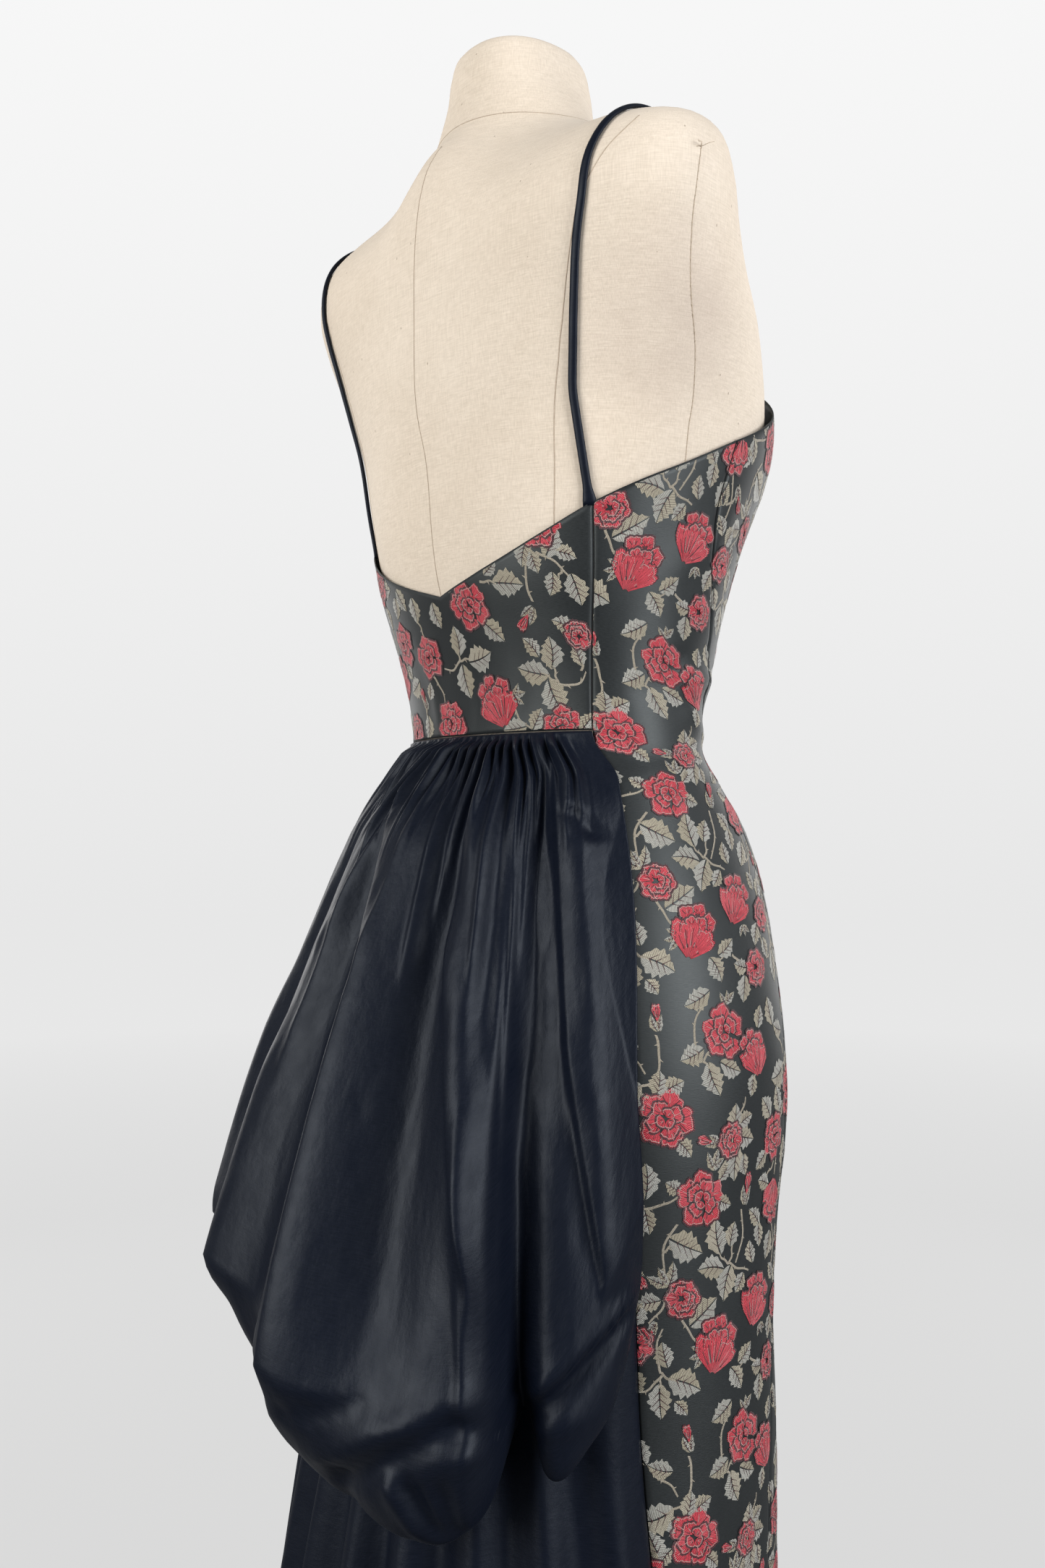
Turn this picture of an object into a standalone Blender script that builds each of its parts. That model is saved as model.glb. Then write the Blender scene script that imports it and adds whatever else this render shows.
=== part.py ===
"""Evening gown with a gathered bustle, worn on a limbless dress form with a stand.

Metres, +Z up. The origin is on the floor, under the middle of the stand's base. The gown's front
faces -Y and the wearer's right side is at -X. A turn is an angle about the vertical axis:
0 degrees points at the centre back (+Y), 90 at the wearer's right (-X), 180 at the centre front.
Heights in the tables are measured from the waist seam, upwards.
"""

from collections import namedtuple
import math

import bmesh
import bpy
from mathutils import Vector
from mathutils.bvhtree import BVHTree
import numpy as np

# Driving dimensions
WAIST_Z = 1.070  # waist seam above the floor
HEM_DROP = 1.025  # waist seam to hem
BROCADE = 0.0015  # cloth walls
TAFFETA = 0.0012
SEAM_GAP = 0.0003
SQUARENESS = 2.25  # exponent of the body's oval, 2 is an ellipse

# Where the gown's seams run, as turns in degrees
STRAP_BACK_TURN = 58.0  # the side back seam's upper end, under the strap
BUST_TURN = 146.0  # direction of each bust point from the axis
BUST_HEIGHT = 0.198
BUST_SPREAD_TURN = 23.0
BUST_SPREAD_HEIGHT = 0.048

Section = namedtuple("Section", "z side back front")
SeamPoint = namedtuple("SeamPoint", "z turn")
EdgePoint = namedtuple("EdgePoint", "turn z")
FormRing = namedtuple("FormRing", "side_x side_z middle back_y back_z front_y front_z dip")
Fold = namedtuple("Fold", "top_turn top_drop low_turn low_drop rise spread")
BustleLine = namedtuple("BustleLine", "turn wide wide_drop bottom bottom_drop")
SkirtLevel = namedtuple("SkirtLevel", "z flare fold")

GOWN_SECTIONS = [
    Section(-1.030, 0.176, 0.136, 0.150),
    Section(-0.780, 0.168, 0.124, 0.138),
    Section(-0.560, 0.163, 0.120, 0.132),
    Section(-0.450, 0.163, 0.120, 0.131),
    Section(-0.380, 0.166, 0.122, 0.121),
    Section(-0.320, 0.169, 0.124, 0.124),
    Section(-0.260, 0.173, 0.126, 0.134),
    Section(-0.200, 0.173, 0.124, 0.131),
    Section(-0.150, 0.166, 0.118, 0.128),
    Section(-0.100, 0.153, 0.106, 0.127),
    Section(-0.060, 0.139, 0.092, 0.117),
    Section(-0.035, 0.130, 0.083, 0.096),
    Section(-0.010, 0.1205, 0.0765, 0.077),
    Section(0.000, 0.1200, 0.0765, 0.0765),
    Section(0.040, 0.1215, 0.0840, 0.0925),
    Section(0.070, 0.1265, 0.0940, 0.0980),
    Section(0.100, 0.1335, 0.1045, 0.1020),
    Section(0.135, 0.1415, 0.1110, 0.1055),
    Section(0.165, 0.1490, 0.1140, 0.1080),
    Section(0.205, 0.1580, 0.1180, 0.1110),
    Section(0.260, 0.1680, 0.1200, 0.1120),
]
GOWN_BUST = 0.026  # how far each bust point stands out

FORM_SECTIONS = [
    Section(-0.320, 0.140, 0.092, 0.090),
    Section(-0.290, 0.152, 0.104, 0.098),
    Section(-0.240, 0.161, 0.113, 0.105),
    Section(-0.190, 0.164, 0.115, 0.107),
    Section(-0.140, 0.158, 0.108, 0.106),
    Section(-0.100, 0.147, 0.099, 0.102),
    Section(-0.060, 0.133, 0.087, 0.095),
    Section(-0.030, 0.1225, 0.0775, 0.0840),
    Section(0.000, 0.1174, 0.0732, 0.0743),
    Section(0.030, 0.1178, 0.0780, 0.0855),
    Section(0.065, 0.1220, 0.0885, 0.0940),
    Section(0.100, 0.1298, 0.1008, 0.0980),
    Section(0.135, 0.1378, 0.1074, 0.1015),
    Section(0.165, 0.1452, 0.1104, 0.1040),
    Section(0.210, 0.1550, 0.1146, 0.1068),
]
FORM_BUST = 0.022

FORM_LEVELS = [
    -0.320, -0.305, -0.28, -0.24, -0.19, -0.15, -0.11, -0.08, -0.055, -0.035, -0.018, 0.0,
    0.018, 0.035, 0.06, 0.09, 0.12, 0.145, 0.17, 0.195, 0.22,
]

# Above the bust the form's rings tilt over the shoulders, up to the rounded top of the neck.
# A ring is widest at middle, and dips between its side and its centre.
SHOULDER_RINGS = [
    FormRing(0.1650, 0.240, 0.010, 0.1175, 0.240, -0.1040, 0.238, 0.000),
    FormRing(0.1760, 0.270, 0.024, 0.1195, 0.275, -0.0930, 0.262, 0.000),
    FormRing(0.1830, 0.300, 0.040, 0.1210, 0.310, -0.0760, 0.285, 0.006),
    FormRing(0.1880, 0.328, 0.050, 0.1205, 0.340, -0.0630, 0.303, 0.014),
    FormRing(0.1880, 0.353, 0.048, 0.1180, 0.362, -0.0530, 0.318, 0.023),
    FormRing(0.1790, 0.372, 0.040, 0.1140, 0.378, -0.0460, 0.331, 0.027),
    FormRing(0.1560, 0.384, 0.036, 0.1080, 0.390, -0.0380, 0.341, 0.026),
    FormRing(0.1200, 0.393, 0.033, 0.1010, 0.400, -0.0320, 0.350, 0.020),
    FormRing(0.0900, 0.403, 0.031, 0.0930, 0.409, -0.0270, 0.359, 0.014),
    FormRing(0.0680, 0.416, 0.029, 0.0860, 0.420, -0.0240, 0.370, 0.008),
    FormRing(0.0570, 0.432, 0.029, 0.0820, 0.434, -0.0230, 0.388, 0.003),
    FormRing(0.0500, 0.448, 0.029, 0.0790, 0.448, -0.0220, 0.420, 0.000),
    FormRing(0.0465, 0.465, 0.029, 0.0770, 0.468, -0.0200, 0.450, 0.000),
    FormRing(0.0430, 0.476, 0.029, 0.0730, 0.479, -0.0160, 0.466, 0.000),
    FormRing(0.0300, 0.482, 0.029, 0.0590, 0.484, -0.0020, 0.475, 0.000),
]

SIDE_BACK_SEAM = [
    SeamPoint(-1.030, 76.0),
    SeamPoint(-0.550, 70.5),
    SeamPoint(-0.420, 66.5),
    SeamPoint(-0.200, 64.0),
    SeamPoint(0.000, 61.5),
    SeamPoint(0.150, STRAP_BACK_TURN),
]
PRINCESS_SEAM = [
    SeamPoint(-1.030, 104.0),
    SeamPoint(-0.560, 108.0),
    SeamPoint(-0.250, 112.0),
    SeamPoint(0.000, 113.0),
    SeamPoint(0.060, 107.0),
    SeamPoint(0.130, 96.0),
    SeamPoint(0.200, 98.0),
    SeamPoint(0.260, 100.0),
]
TOP_EDGE = [
    EdgePoint(0.0, 0.092),
    EdgePoint(20.0, 0.103),
    EdgePoint(33.0, 0.1125),
    EdgePoint(46.6, 0.1265),
    EdgePoint(58.0, 0.141),
    EdgePoint(69.0, 0.154),
    EdgePoint(83.0, 0.170),
    EdgePoint(97.0, 0.188),
    EdgePoint(110.0, 0.205),
    EdgePoint(122.0, 0.224),
    EdgePoint(135.0, 0.247),
    EdgePoint(150.0, 0.258),
    EdgePoint(165.0, 0.246),
    EdgePoint(180.0, 0.234),
]
LOWER_LEVELS = [
    -HEM_DROP, -0.88, -0.74, -0.62, -0.52, -0.44, -0.375, -0.32, -0.265, -0.21, -0.155, -0.105,
    -0.065, -0.030,
]
UPPER_ROWS = 7
BACK_COLUMNS = 18
SIDE_COLUMNS = 8
FRONT_COLUMNS = 20
EDGE_GUESS = 0.15  # a height near the top edge, from which its true height is found

# The bustle: where each line down it is widest, where its puff turns under, and its deep folds
BUSTLE_LINES = [
    BustleLine(-64.8, 0.178, 0.280, 0.171, 0.330),
    BustleLine(-58.0, 0.200, 0.310, 0.178, 0.360),
    BustleLine(-50.0, 0.222, 0.332, 0.176, 0.386),
    BustleLine(-45.0, 0.234, 0.338, 0.170, 0.394),
    BustleLine(-38.0, 0.232, 0.332, 0.168, 0.404),
    BustleLine(-30.0, 0.232, 0.332, 0.170, 0.418),
    BustleLine(-18.0, 0.233, 0.344, 0.166, 0.434),
    BustleLine(-8.0, 0.236, 0.358, 0.166, 0.447),
    BustleLine(4.0, 0.239, 0.374, 0.172, 0.464),
    BustleLine(14.0, 0.241, 0.386, 0.184, 0.471),
    BustleLine(24.0, 0.239, 0.396, 0.200, 0.471),
    BustleLine(32.0, 0.230, 0.396, 0.204, 0.464),
    BustleLine(37.0, 0.216, 0.390, 0.194, 0.446),
    BustleLine(41.5, 0.198, 0.372, 0.172, 0.404),
    BustleLine(46.0, 0.203, 0.368, 0.186, 0.434),
    BustleLine(54.0, 0.198, 0.335, 0.188, 0.416),
    BustleLine(60.0, 0.189, 0.305, 0.180, 0.386),
    BustleLine(64.8, 0.178, 0.280, 0.171, 0.336),
]
# The bustle's large folds: where each ridge or trough starts and ends, how far it stands out
# and how wide it spreads, in degrees
BUSTLE_FOLDS = [
    Fold(-58.0, 0.06, -58.0, 0.33, 0.004, 4.5),
    Fold(-51.0, 0.05, -50.0, 0.32, -0.005, 4.0),
    Fold(-44.0, 0.03, -43.0, 0.37, 0.008, 5.0),
    Fold(-33.0, 0.05, -31.0, 0.34, -0.007, 5.0),
    Fold(-22.0, 0.04, -22.0, 0.42, 0.007, 6.0),
    Fold(-8.0, 0.08, -8.0, 0.41, -0.014, 5.5),
    Fold(-4.0, 0.03, 5.0, 0.43, 0.012, 5.0),
    Fold(18.5, 0.05, 20.0, 0.38, -0.015, 5.0),
    Fold(25.0, 0.04, 36.0, 0.32, 0.008, 3.5),
    Fold(37.0, 0.16, 35.0, 0.44, 0.007, 3.5),
    Fold(39.6, 0.20, 41.5, 0.41, -0.007, 2.2),
    Fold(42.0, 0.04, 45.5, 0.24, -0.006, 3.0),
    Fold(48.0, 0.06, 54.0, 0.31, -0.004, 2.5),
    Fold(54.0, 0.03, 56.5, 0.28, 0.006, 3.5),
]
FOLD_FADE = 0.18  # share of a fold's length over which each end dies away
BUSTLE_TOP_TURN = 61.0  # the gathered seam's ends, either side of the centre back
BUSTLE_FLAP_TURN = 67.5  # its loose side edges just below that seam
BUSTLE_EDGE_TURN = 64.8  # and from the hip down
GATHERS = 28
GATHER_COLUMNS = 3  # columns of faces in each gather
GATHER_DEPTH = 0.0060  # how far the gathers stand out below the seam
GATHER_END = 0.17  # drop at which the last of them has died away
BUSTLE_LIFT = 0.18  # how far the gathers lift the cloth off a straight slope, as a share of its reach
BUSTLE_LIFT_END = 0.20  # share of the way down at which it is fully lifted
BUSTLE_ROUND = 0.25  # how much the slope rounds off towards the widest point, 1 is a sine
PUFF_FLATNESS = 0.25  # how straight the puff runs in to its foot, 0 is a quarter ellipse
BUSTLE_CLEARANCE = 0.0010
BUSTLE_SHARES = [0.0, 0.03, 0.075, 0.14, 0.22, 0.32, 0.44, 0.58, 0.72, 0.86, 1.0]
PUFF_ANGLES = [30.0, 60.0, 90.0]  # round the foot of the puff, from its widest point
TUCK_SHARES = [0.5, 1.0]
TUCK_RISE = 0.055  # how far the puff's lining side climbs back up inside
TUCK_DEPTH = 0.045  # and how far in it reaches at most
TUCK_LEAST = 0.003  # and at least, at the side edges
TUCK_GAP = 0.009  # to the skirt
TUCK_EDGE_SHARE = 0.3  # of the rise and the gap, at the side edges

# The black back of the skirt: flare beyond the gown's oval, and depth of its hem folds
SKIRT_LEVELS = [
    SkirtLevel(-1.030, 0.118, 0.0150),
    SkirtLevel(-0.800, 0.092, 0.0120),
    SkirtLevel(-0.600, 0.062, 0.0085),
    SkirtLevel(-0.500, 0.046, 0.0060),
    SkirtLevel(-0.400, 0.028, 0.0030),
    SkirtLevel(-0.300, 0.012, 0.0010),
    SkirtLevel(-0.200, 0.002, 0.0000),
    SkirtLevel(0.000, 0.000, 0.0000),
]
SKIRT_FOLDS = 9
SKIRT_COLUMNS = 36
SKIRT_TOP = -0.004
SKIRT_INSET = 0.0010  # where it lies under the bustle

# Straps
STRAP_WIDTH = 0.0056
STRAP_THICKNESS = 0.0030
STRAP_FRONT_TURN = 150.0
STRAP_SHOULDER_X = 0.128
STRAP_CLEARANCE = 0.0004
STRAP_POINTS = 36
STRAP_SIDES = 8
SHOULDER_HEART = Vector((0, 0.02, 0.24))  # middle of the upper body, from the waist
SHOULDER_SWING_START = -25.0  # degrees above level, behind
SHOULDER_SWING = 190.0
SHOULDER_STEPS = 60

# Stand
POLE_RADIUS = 0.0140
COLLAR_RADIUS = 0.0420
COLLAR_HEIGHT = 0.0140
BASE_RADIUS = 0.1500
BASE_HEIGHT = 0.0140
HUB_RADIUS = 0.0300
HUB_HEIGHT = 0.0450
STAND_EDGE = 0.0040  # bevel round the base, and rise of its upper face to the hub
HUB_TAPER = 0.8
BASE_STEPS = 40
POLE_STEPS = 20
COLLAR_STEPS = 24
FORM_COLUMNS = 32


def spline(knots, values, where):
    """Smooth curve through (knots, values), read at where; flat beyond the two ends."""
    knots = np.asarray(knots, float)
    values = np.asarray(values, float)
    where = np.clip(np.asarray(where, float), knots[0], knots[-1])
    slopes = np.gradient(values, knots)
    i = np.clip(np.searchsorted(knots, where, side="right") - 1, 0, len(knots) - 2)
    width = knots[i + 1] - knots[i]
    t = (where - knots[i]) / width
    t2, t3 = t * t, t * t * t
    return (
        (2 * t3 - 3 * t2 + 1) * values[i]
        + (t3 - 2 * t2 + t) * width * slopes[i]
        + (3 * t2 - 2 * t3) * values[i + 1]
        + (t3 - t2) * width * slopes[i + 1]
    )


def column(rows, key):
    """One named column of a table."""
    return [getattr(row, key) for row in rows]


def table(rows, key, value, where):
    """The smooth curve of column value over column key."""
    return spline(column(rows, key), column(rows, value), where)


def smoothstep(low, high, x):
    t = np.clip((np.asarray(x, float) - low) / (high - low), 0, 1)
    return t * t * (3 - 2 * t)


def oval_radius(turn, side, back, front):
    """Distance from the axis to a rounded oval, in the direction of turn (radians)."""
    across = np.abs(np.sin(turn)) / side
    depth = np.where(np.cos(turn) > 0, back, front)
    along = np.abs(np.cos(turn)) / depth
    return (across**SQUARENESS + along**SQUARENESS) ** (-1 / SQUARENESS)


def bust_swell(turn, z):
    """Height of the two soft cones of the bust, from 0 to about 1."""
    total = 0.0
    for side in (-1, 1):
        away = np.angle(np.exp(1j * (turn - side * math.radians(BUST_TURN))))
        across = away / math.radians(BUST_SPREAD_TURN)
        up = (z - BUST_HEIGHT) / BUST_SPREAD_HEIGHT
        total = total + np.exp(-0.5 * (across**2 + up**2))
    return total


def body_radius(sections, bust, turn, z):
    side, back, front = (table(sections, "z", key, z) for key in ("side", "back", "front"))
    return oval_radius(turn, side, back, front) + bust * bust_swell(turn, z)


def gown_radius(turn, z):
    """Outside of the brocade."""
    return body_radius(GOWN_SECTIONS, GOWN_BUST, turn, z)


def place(turn, radius, z):
    """A point at that turn (radians), distance from the axis and height from the waist."""
    return (-radius * math.sin(turn), radius * math.cos(turn), WAIST_Z + z)


def back_seam(z):
    """Turn of the side back seam, in degrees."""
    return table(SIDE_BACK_SEAM, "z", "turn", z)


def princess_seam(z):
    """Turn of the front princess seam, in degrees."""
    return table(PRINCESS_SEAM, "z", "turn", z)


def top_edge(turn_degrees):
    """Height of the gown's upper edge at a turn, the same on both sides."""
    away = abs((turn_degrees + 180.0) % 360.0 - 180.0)
    return float(table(TOP_EDGE, "turn", "z", away))


def material(name, colour, roughness, metallic=0.0, sheen=0.0):
    made = bpy.data.materials.new(name)
    made.use_nodes = True
    shader = made.node_tree.nodes["Principled BSDF"]
    shader.inputs["Base Color"].default_value = (*colour, 1.0)
    shader.inputs["Roughness"].default_value = roughness
    shader.inputs["Metallic"].default_value = metallic
    shader.inputs["Sheen Weight"].default_value = sheen
    return made


def mesh_object(name, points, faces, finish):
    """A smooth-shaded mesh object with its faces turned outwards."""
    mesh = bpy.data.meshes.new(name)
    mesh.from_pydata([tuple(p) for p in points], [], faces)
    work = bmesh.new()
    work.from_mesh(mesh)
    bmesh.ops.triangulate(work, faces=work.faces, quad_method="SHORT_EDGE")
    bmesh.ops.recalc_face_normals(work, faces=work.faces)
    work.to_mesh(mesh)
    work.free()
    mesh.shade_smooth()
    mesh.materials.append(finish)
    made = bpy.data.objects.new(name, mesh)
    bpy.context.scene.collection.objects.link(made)
    return made


def grid_faces(rows, columns):
    """Quads between rows + 1 lines of columns + 1 points, wound the same way throughout."""
    wide = columns + 1
    return [
        (r * wide + c, r * wide + c + 1, (r + 1) * wide + c + 1, (r + 1) * wide + c)
        for r in range(rows)
        for c in range(columns)
    ]


def cloth(name, grid, thickness, finish):
    """A cloth wall: grid is rows of points on its outside, and the wall grows inwards."""
    rows, columns = len(grid) - 1, len(grid[0]) - 1
    points = [p for row in grid for p in row]
    mesh = bpy.data.meshes.new(name)
    mesh.from_pydata(points, [], grid_faces(rows, columns))
    middle = mesh.polygons[(rows // 3) * columns + columns // 2]
    if middle.normal.dot(middle.center - Vector((0, 0, middle.center.z))) < 0:
        mesh.flip_normals()
    mesh.shade_smooth()
    mesh.materials.append(finish)
    made = bpy.data.objects.new(name, mesh)
    bpy.context.scene.collection.objects.link(made)
    wall = made.modifiers.new("wall", "SOLIDIFY")
    wall.thickness = thickness
    wall.offset = -1.0
    wall.use_quality_normals = True
    return made


def clear_seam(turn, radius, towards):
    """The turn moved off a seam by half the seam's gap."""
    return turn + towards * 0.5 * SEAM_GAP / radius


def brocade_panel(name, start, end, columns, long, finish):
    """A panel between two seams, each a function of height that gives a turn in degrees.

    A long panel runs from the hem to the top edge, any other from the waist seam."""

    def at(share, z):
        turn = math.radians(start(z) + (end(z) - start(z)) * share)
        radius = float(gown_radius(turn, z))
        if share == 0:
            turn = clear_seam(turn, radius, 1)
        if share == 1:
            turn = clear_seam(turn, radius, -1)
        return turn, radius

    shares = [c / columns for c in range(columns + 1)]
    grid = []
    for z in LOWER_LEVELS if long else []:
        grid.append([place(*at(share, z), z) for share in shares])
    bottom = 0.0 if long else SEAM_GAP
    tops = []
    for share in shares:
        top = EDGE_GUESS
        for _ in range(6):
            top = top_edge(math.degrees(at(share, top)[0]))
        tops.append(top)
    for row in range(UPPER_ROWS + 1):
        rise = row / UPPER_ROWS
        line = []
        for share, top in zip(shares, tops):
            z = bottom + (top - bottom) * rise
            line.append(place(*at(share, z), z))
        grid.append(line)
    return cloth(name, grid, BROCADE, finish)


def bodice_and_skirt(finish):
    """The brocade pieces: the short bodice back, two side panels and the long front."""

    def left_back_seam(z):
        return -back_seam(z)

    def left_princess_seam(z):
        return -princess_seam(z)

    def left_princess_seam_onwards(z):
        return 360 - princess_seam(z)

    brocade_panel("bodice_back", left_back_seam, back_seam, BACK_COLUMNS, False, finish)
    brocade_panel("side_panel_right", back_seam, princess_seam, SIDE_COLUMNS, True, finish)
    brocade_panel("side_panel_left", left_princess_seam, left_back_seam, SIDE_COLUMNS, True, finish)
    brocade_panel(
        "front_panel", princess_seam, left_princess_seam_onwards, FRONT_COLUMNS, True, finish
    )


def underskirt_radius(share, z):
    """Outside of the skirt's back at a share of its width, -1 left seam to 1 right seam."""
    share = min(max(share, -1.0), 1.0)
    turn = math.radians(float(back_seam(z)) * share)
    flare = float(table(SKIRT_LEVELS, "z", "flare", z))
    fold = float(table(SKIRT_LEVELS, "z", "fold", z))
    inset = SKIRT_INSET * float(smoothstep(-0.35, -0.25, z))
    swing = max(math.cos(0.5 * math.pi * share), 0.0) ** 0.55
    wave = math.cos(math.pi * SKIRT_FOLDS * share) * (1 - share**8)
    return float(gown_radius(turn, z)) + flare * swing + fold * wave - inset


def underskirt(finish):
    """The black back of the skirt, let in between the side panels, flaring to folds at the hem."""
    grid = []
    for z in [*LOWER_LEVELS, SKIRT_TOP]:
        seam = float(back_seam(z))
        line = []
        for c in range(SKIRT_COLUMNS + 1):
            share = 2 * c / SKIRT_COLUMNS - 1
            turn = math.radians(seam * share)
            radius = underskirt_radius(share, z)
            if c in (0, SKIRT_COLUMNS):
                turn = clear_seam(turn, radius, -np.sign(share))
            line.append(place(turn, radius, z))
        grid.append(line)
    cloth("underskirt", grid, TAFFETA, finish)


def gather_wave(share):
    """Ridges and hollows of the gathers, from 0 to 1, with a slightly uneven rhythm."""
    position = 0.5 * GATHERS * (share + 1)
    uneven = 0.22 * math.sin(4.3 * math.pi * share) + 0.12 * math.sin(9.7 * math.pi * share + 1.0)
    return 0.5 - 0.5 * math.cos(2 * math.pi * (position + uneven))


def fold_depth(turn_degrees, drop):
    """How far the large folds move the bustle's cloth outwards at a turn and drop."""
    total = 0.0
    for fold in BUSTLE_FOLDS:
        along = (drop - fold.top_drop) / (fold.low_drop - fold.top_drop)
        middle = fold.top_turn + (fold.low_turn - fold.top_turn) * min(max(along, 0.0), 1.0)
        away = (turn_degrees - middle) / fold.spread
        rising = smoothstep(-FOLD_FADE, FOLD_FADE, along)
        falling = smoothstep(1 - FOLD_FADE, 1 + FOLD_FADE, along)
        total += fold.rise * math.exp(-0.5 * away * away) * float(rising * (1 - falling))
    return total


def bustle_turn(share, drop):
    """Turn, in degrees, of a line of the bustle: the cloth spreads below the gathered seam."""
    flap = (BUSTLE_FLAP_TURN - BUSTLE_TOP_TURN) * float(smoothstep(0.005, 0.045, drop))
    hip = (BUSTLE_EDGE_TURN - BUSTLE_FLAP_TURN) * float(smoothstep(0.05, 0.22, drop))
    return share * (BUSTLE_TOP_TURN + flap + hip)


def gather_depth(drop):
    """Height of the gathers at a drop: they rise below the seam and die away lower down."""
    rise = 0.5 * smoothstep(0.0, 0.02, drop) + 0.5 * smoothstep(0.02, 0.07, drop)
    return GATHER_DEPTH * float(rise * (1 - smoothstep(0.08, GATHER_END, drop)))


def bustle_bow(part):
    """How far out the bustle has come, part of the way down to its widest point."""
    lift = BUSTLE_LIFT * (1 - part) * float(smoothstep(0.0, BUSTLE_LIFT_END, part))
    return (1 - BUSTLE_ROUND) * (part + lift) + BUSTLE_ROUND * math.sin(0.5 * math.pi * part)


def bustle_line(share):
    """Points down the outside of the bustle at a share of its width, -1 left to 1 right.

    They run from the gathered waist seam to the widest point, to the foot of the puff, and back up
    inside to where the puff is caught near the skirt."""
    low_turn = BUSTLE_EDGE_TURN * share
    wide, wide_drop, foot, foot_drop = (
        float(table(BUSTLE_LINES, "turn", key, low_turn))
        for key in ("wide", "wide_drop", "bottom", "bottom_drop")
    )
    seam = float(gown_radius(math.radians(bustle_turn(share, 0)), 0.0)) + 0.5 * TAFFETA
    line = []
    for part in BUSTLE_SHARES:
        drop = part * wide_drop
        turn_degrees = bustle_turn(share, drop)
        turn = math.radians(turn_degrees)
        radius = seam + (wide - seam) * bustle_bow(part)
        if part > 0:
            radius = max(radius, float(gown_radius(turn, -drop)) + TAFFETA + BUSTLE_CLEARANCE)
        radius += gather_depth(drop) * gather_wave(share) + fold_depth(turn_degrees, drop)
        line.append(place(turn, radius, -drop - SEAM_GAP))
    turn = math.radians(low_turn)
    for angle in PUFF_ANGLES:
        down = math.sin(math.radians(angle))
        out = (1 - PUFF_FLATNESS) * math.cos(math.radians(angle)) + PUFF_FLATNESS * (1 - down)
        drop = wide_drop + (foot_drop - wide_drop) * down
        radius = foot + (wide - foot) * out + fold_depth(low_turn, drop)
        line.append(place(turn, radius, -drop))
    size = 1 - (1 - TUCK_EDGE_SHARE) * float(smoothstep(50.0, BUSTLE_EDGE_TURN, abs(low_turn)))
    top_z = TUCK_RISE * size - foot_drop
    skirt = underskirt_radius(low_turn / float(back_seam(top_z)), top_z)
    caught = min(max(skirt + TUCK_GAP * size, foot - TUCK_DEPTH), foot - TUCK_LEAST)
    for part in TUCK_SHARES:
        radius = foot + (caught - foot) * part**0.7
        line.append(place(turn, radius, (top_z + foot_drop) * part**1.6 - foot_drop))
    return line


def bustle(finish):
    """The gathered overskirt at the back, puffed at its foot."""
    columns = GATHERS * GATHER_COLUMNS
    lines = [bustle_line(2 * c / columns - 1) for c in range(columns + 1)]
    grid = [list(row) for row in zip(*lines)]
    cloth("bustle", grid, TAFFETA, finish)


def form_rings():
    """Rings of points up the dress form, from its foot to the top of its neck."""
    turns = [2 * math.pi * c / FORM_COLUMNS for c in range(FORM_COLUMNS)]
    rings = []
    for z in FORM_LEVELS:
        rings.append(
            [place(turn, float(body_radius(FORM_SECTIONS, FORM_BUST, turn, z)), z) for turn in turns]
        )
    for ring in SHOULDER_RINGS:
        line = []
        for turn in turns:
            back, side = math.cos(turn), math.sin(turn)
            end = ring.back_z if back > 0 else ring.front_z
            z = ring.side_z + (end - ring.side_z) * back * back - 4 * ring.dip * (back * side) ** 2
            depths = (ring.back_y - ring.middle, ring.middle - ring.front_y)
            radius = float(oval_radius(turn, ring.side_x, *depths))
            radius = radius + FORM_BUST * float(bust_swell(turn, z))
            line.append((-radius * side, ring.middle + radius * back, WAIST_Z + z))
        rings.append(line)
    return rings


def dress_form(finish):
    """The padded torso: shoulder caps, neck, bust and hips in one smooth solid."""
    rings = form_rings()
    points = [p for ring in rings for p in ring]
    faces = []
    for r in range(len(rings) - 1):
        for c in range(FORM_COLUMNS):
            after = (c + 1) % FORM_COLUMNS
            low, high = r * FORM_COLUMNS, (r + 1) * FORM_COLUMNS
            faces.append((low + c, low + after, high + after, high + c))
    faces.append(tuple(range(FORM_COLUMNS)))
    top = (len(rings) - 1) * FORM_COLUMNS
    faces.append(tuple(top + c for c in range(FORM_COLUMNS)))
    return mesh_object("form_torso", points, faces, finish)


def turned(name, profile, finish, steps):
    """A solid turned about the vertical axis from (radius, height) points, bottom to top."""
    points = []
    faces = []
    for radius, height in profile:
        for s in range(steps):
            angle = 2 * math.pi * s / steps
            points.append((radius * math.cos(angle), radius * math.sin(angle), height))
    for p in range(len(profile) - 1):
        for s in range(steps):
            after = (s + 1) % steps
            faces.append((p * steps + s, p * steps + after, (p + 1) * steps + after, (p + 1) * steps + s))
    faces.append(tuple(range(steps)))
    faces.append(tuple((len(profile) - 1) * steps + s for s in range(steps)))
    made = mesh_object(name, points, faces, finish)
    made.data.set_sharp_from_angle(angle=math.radians(35))
    return made


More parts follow.
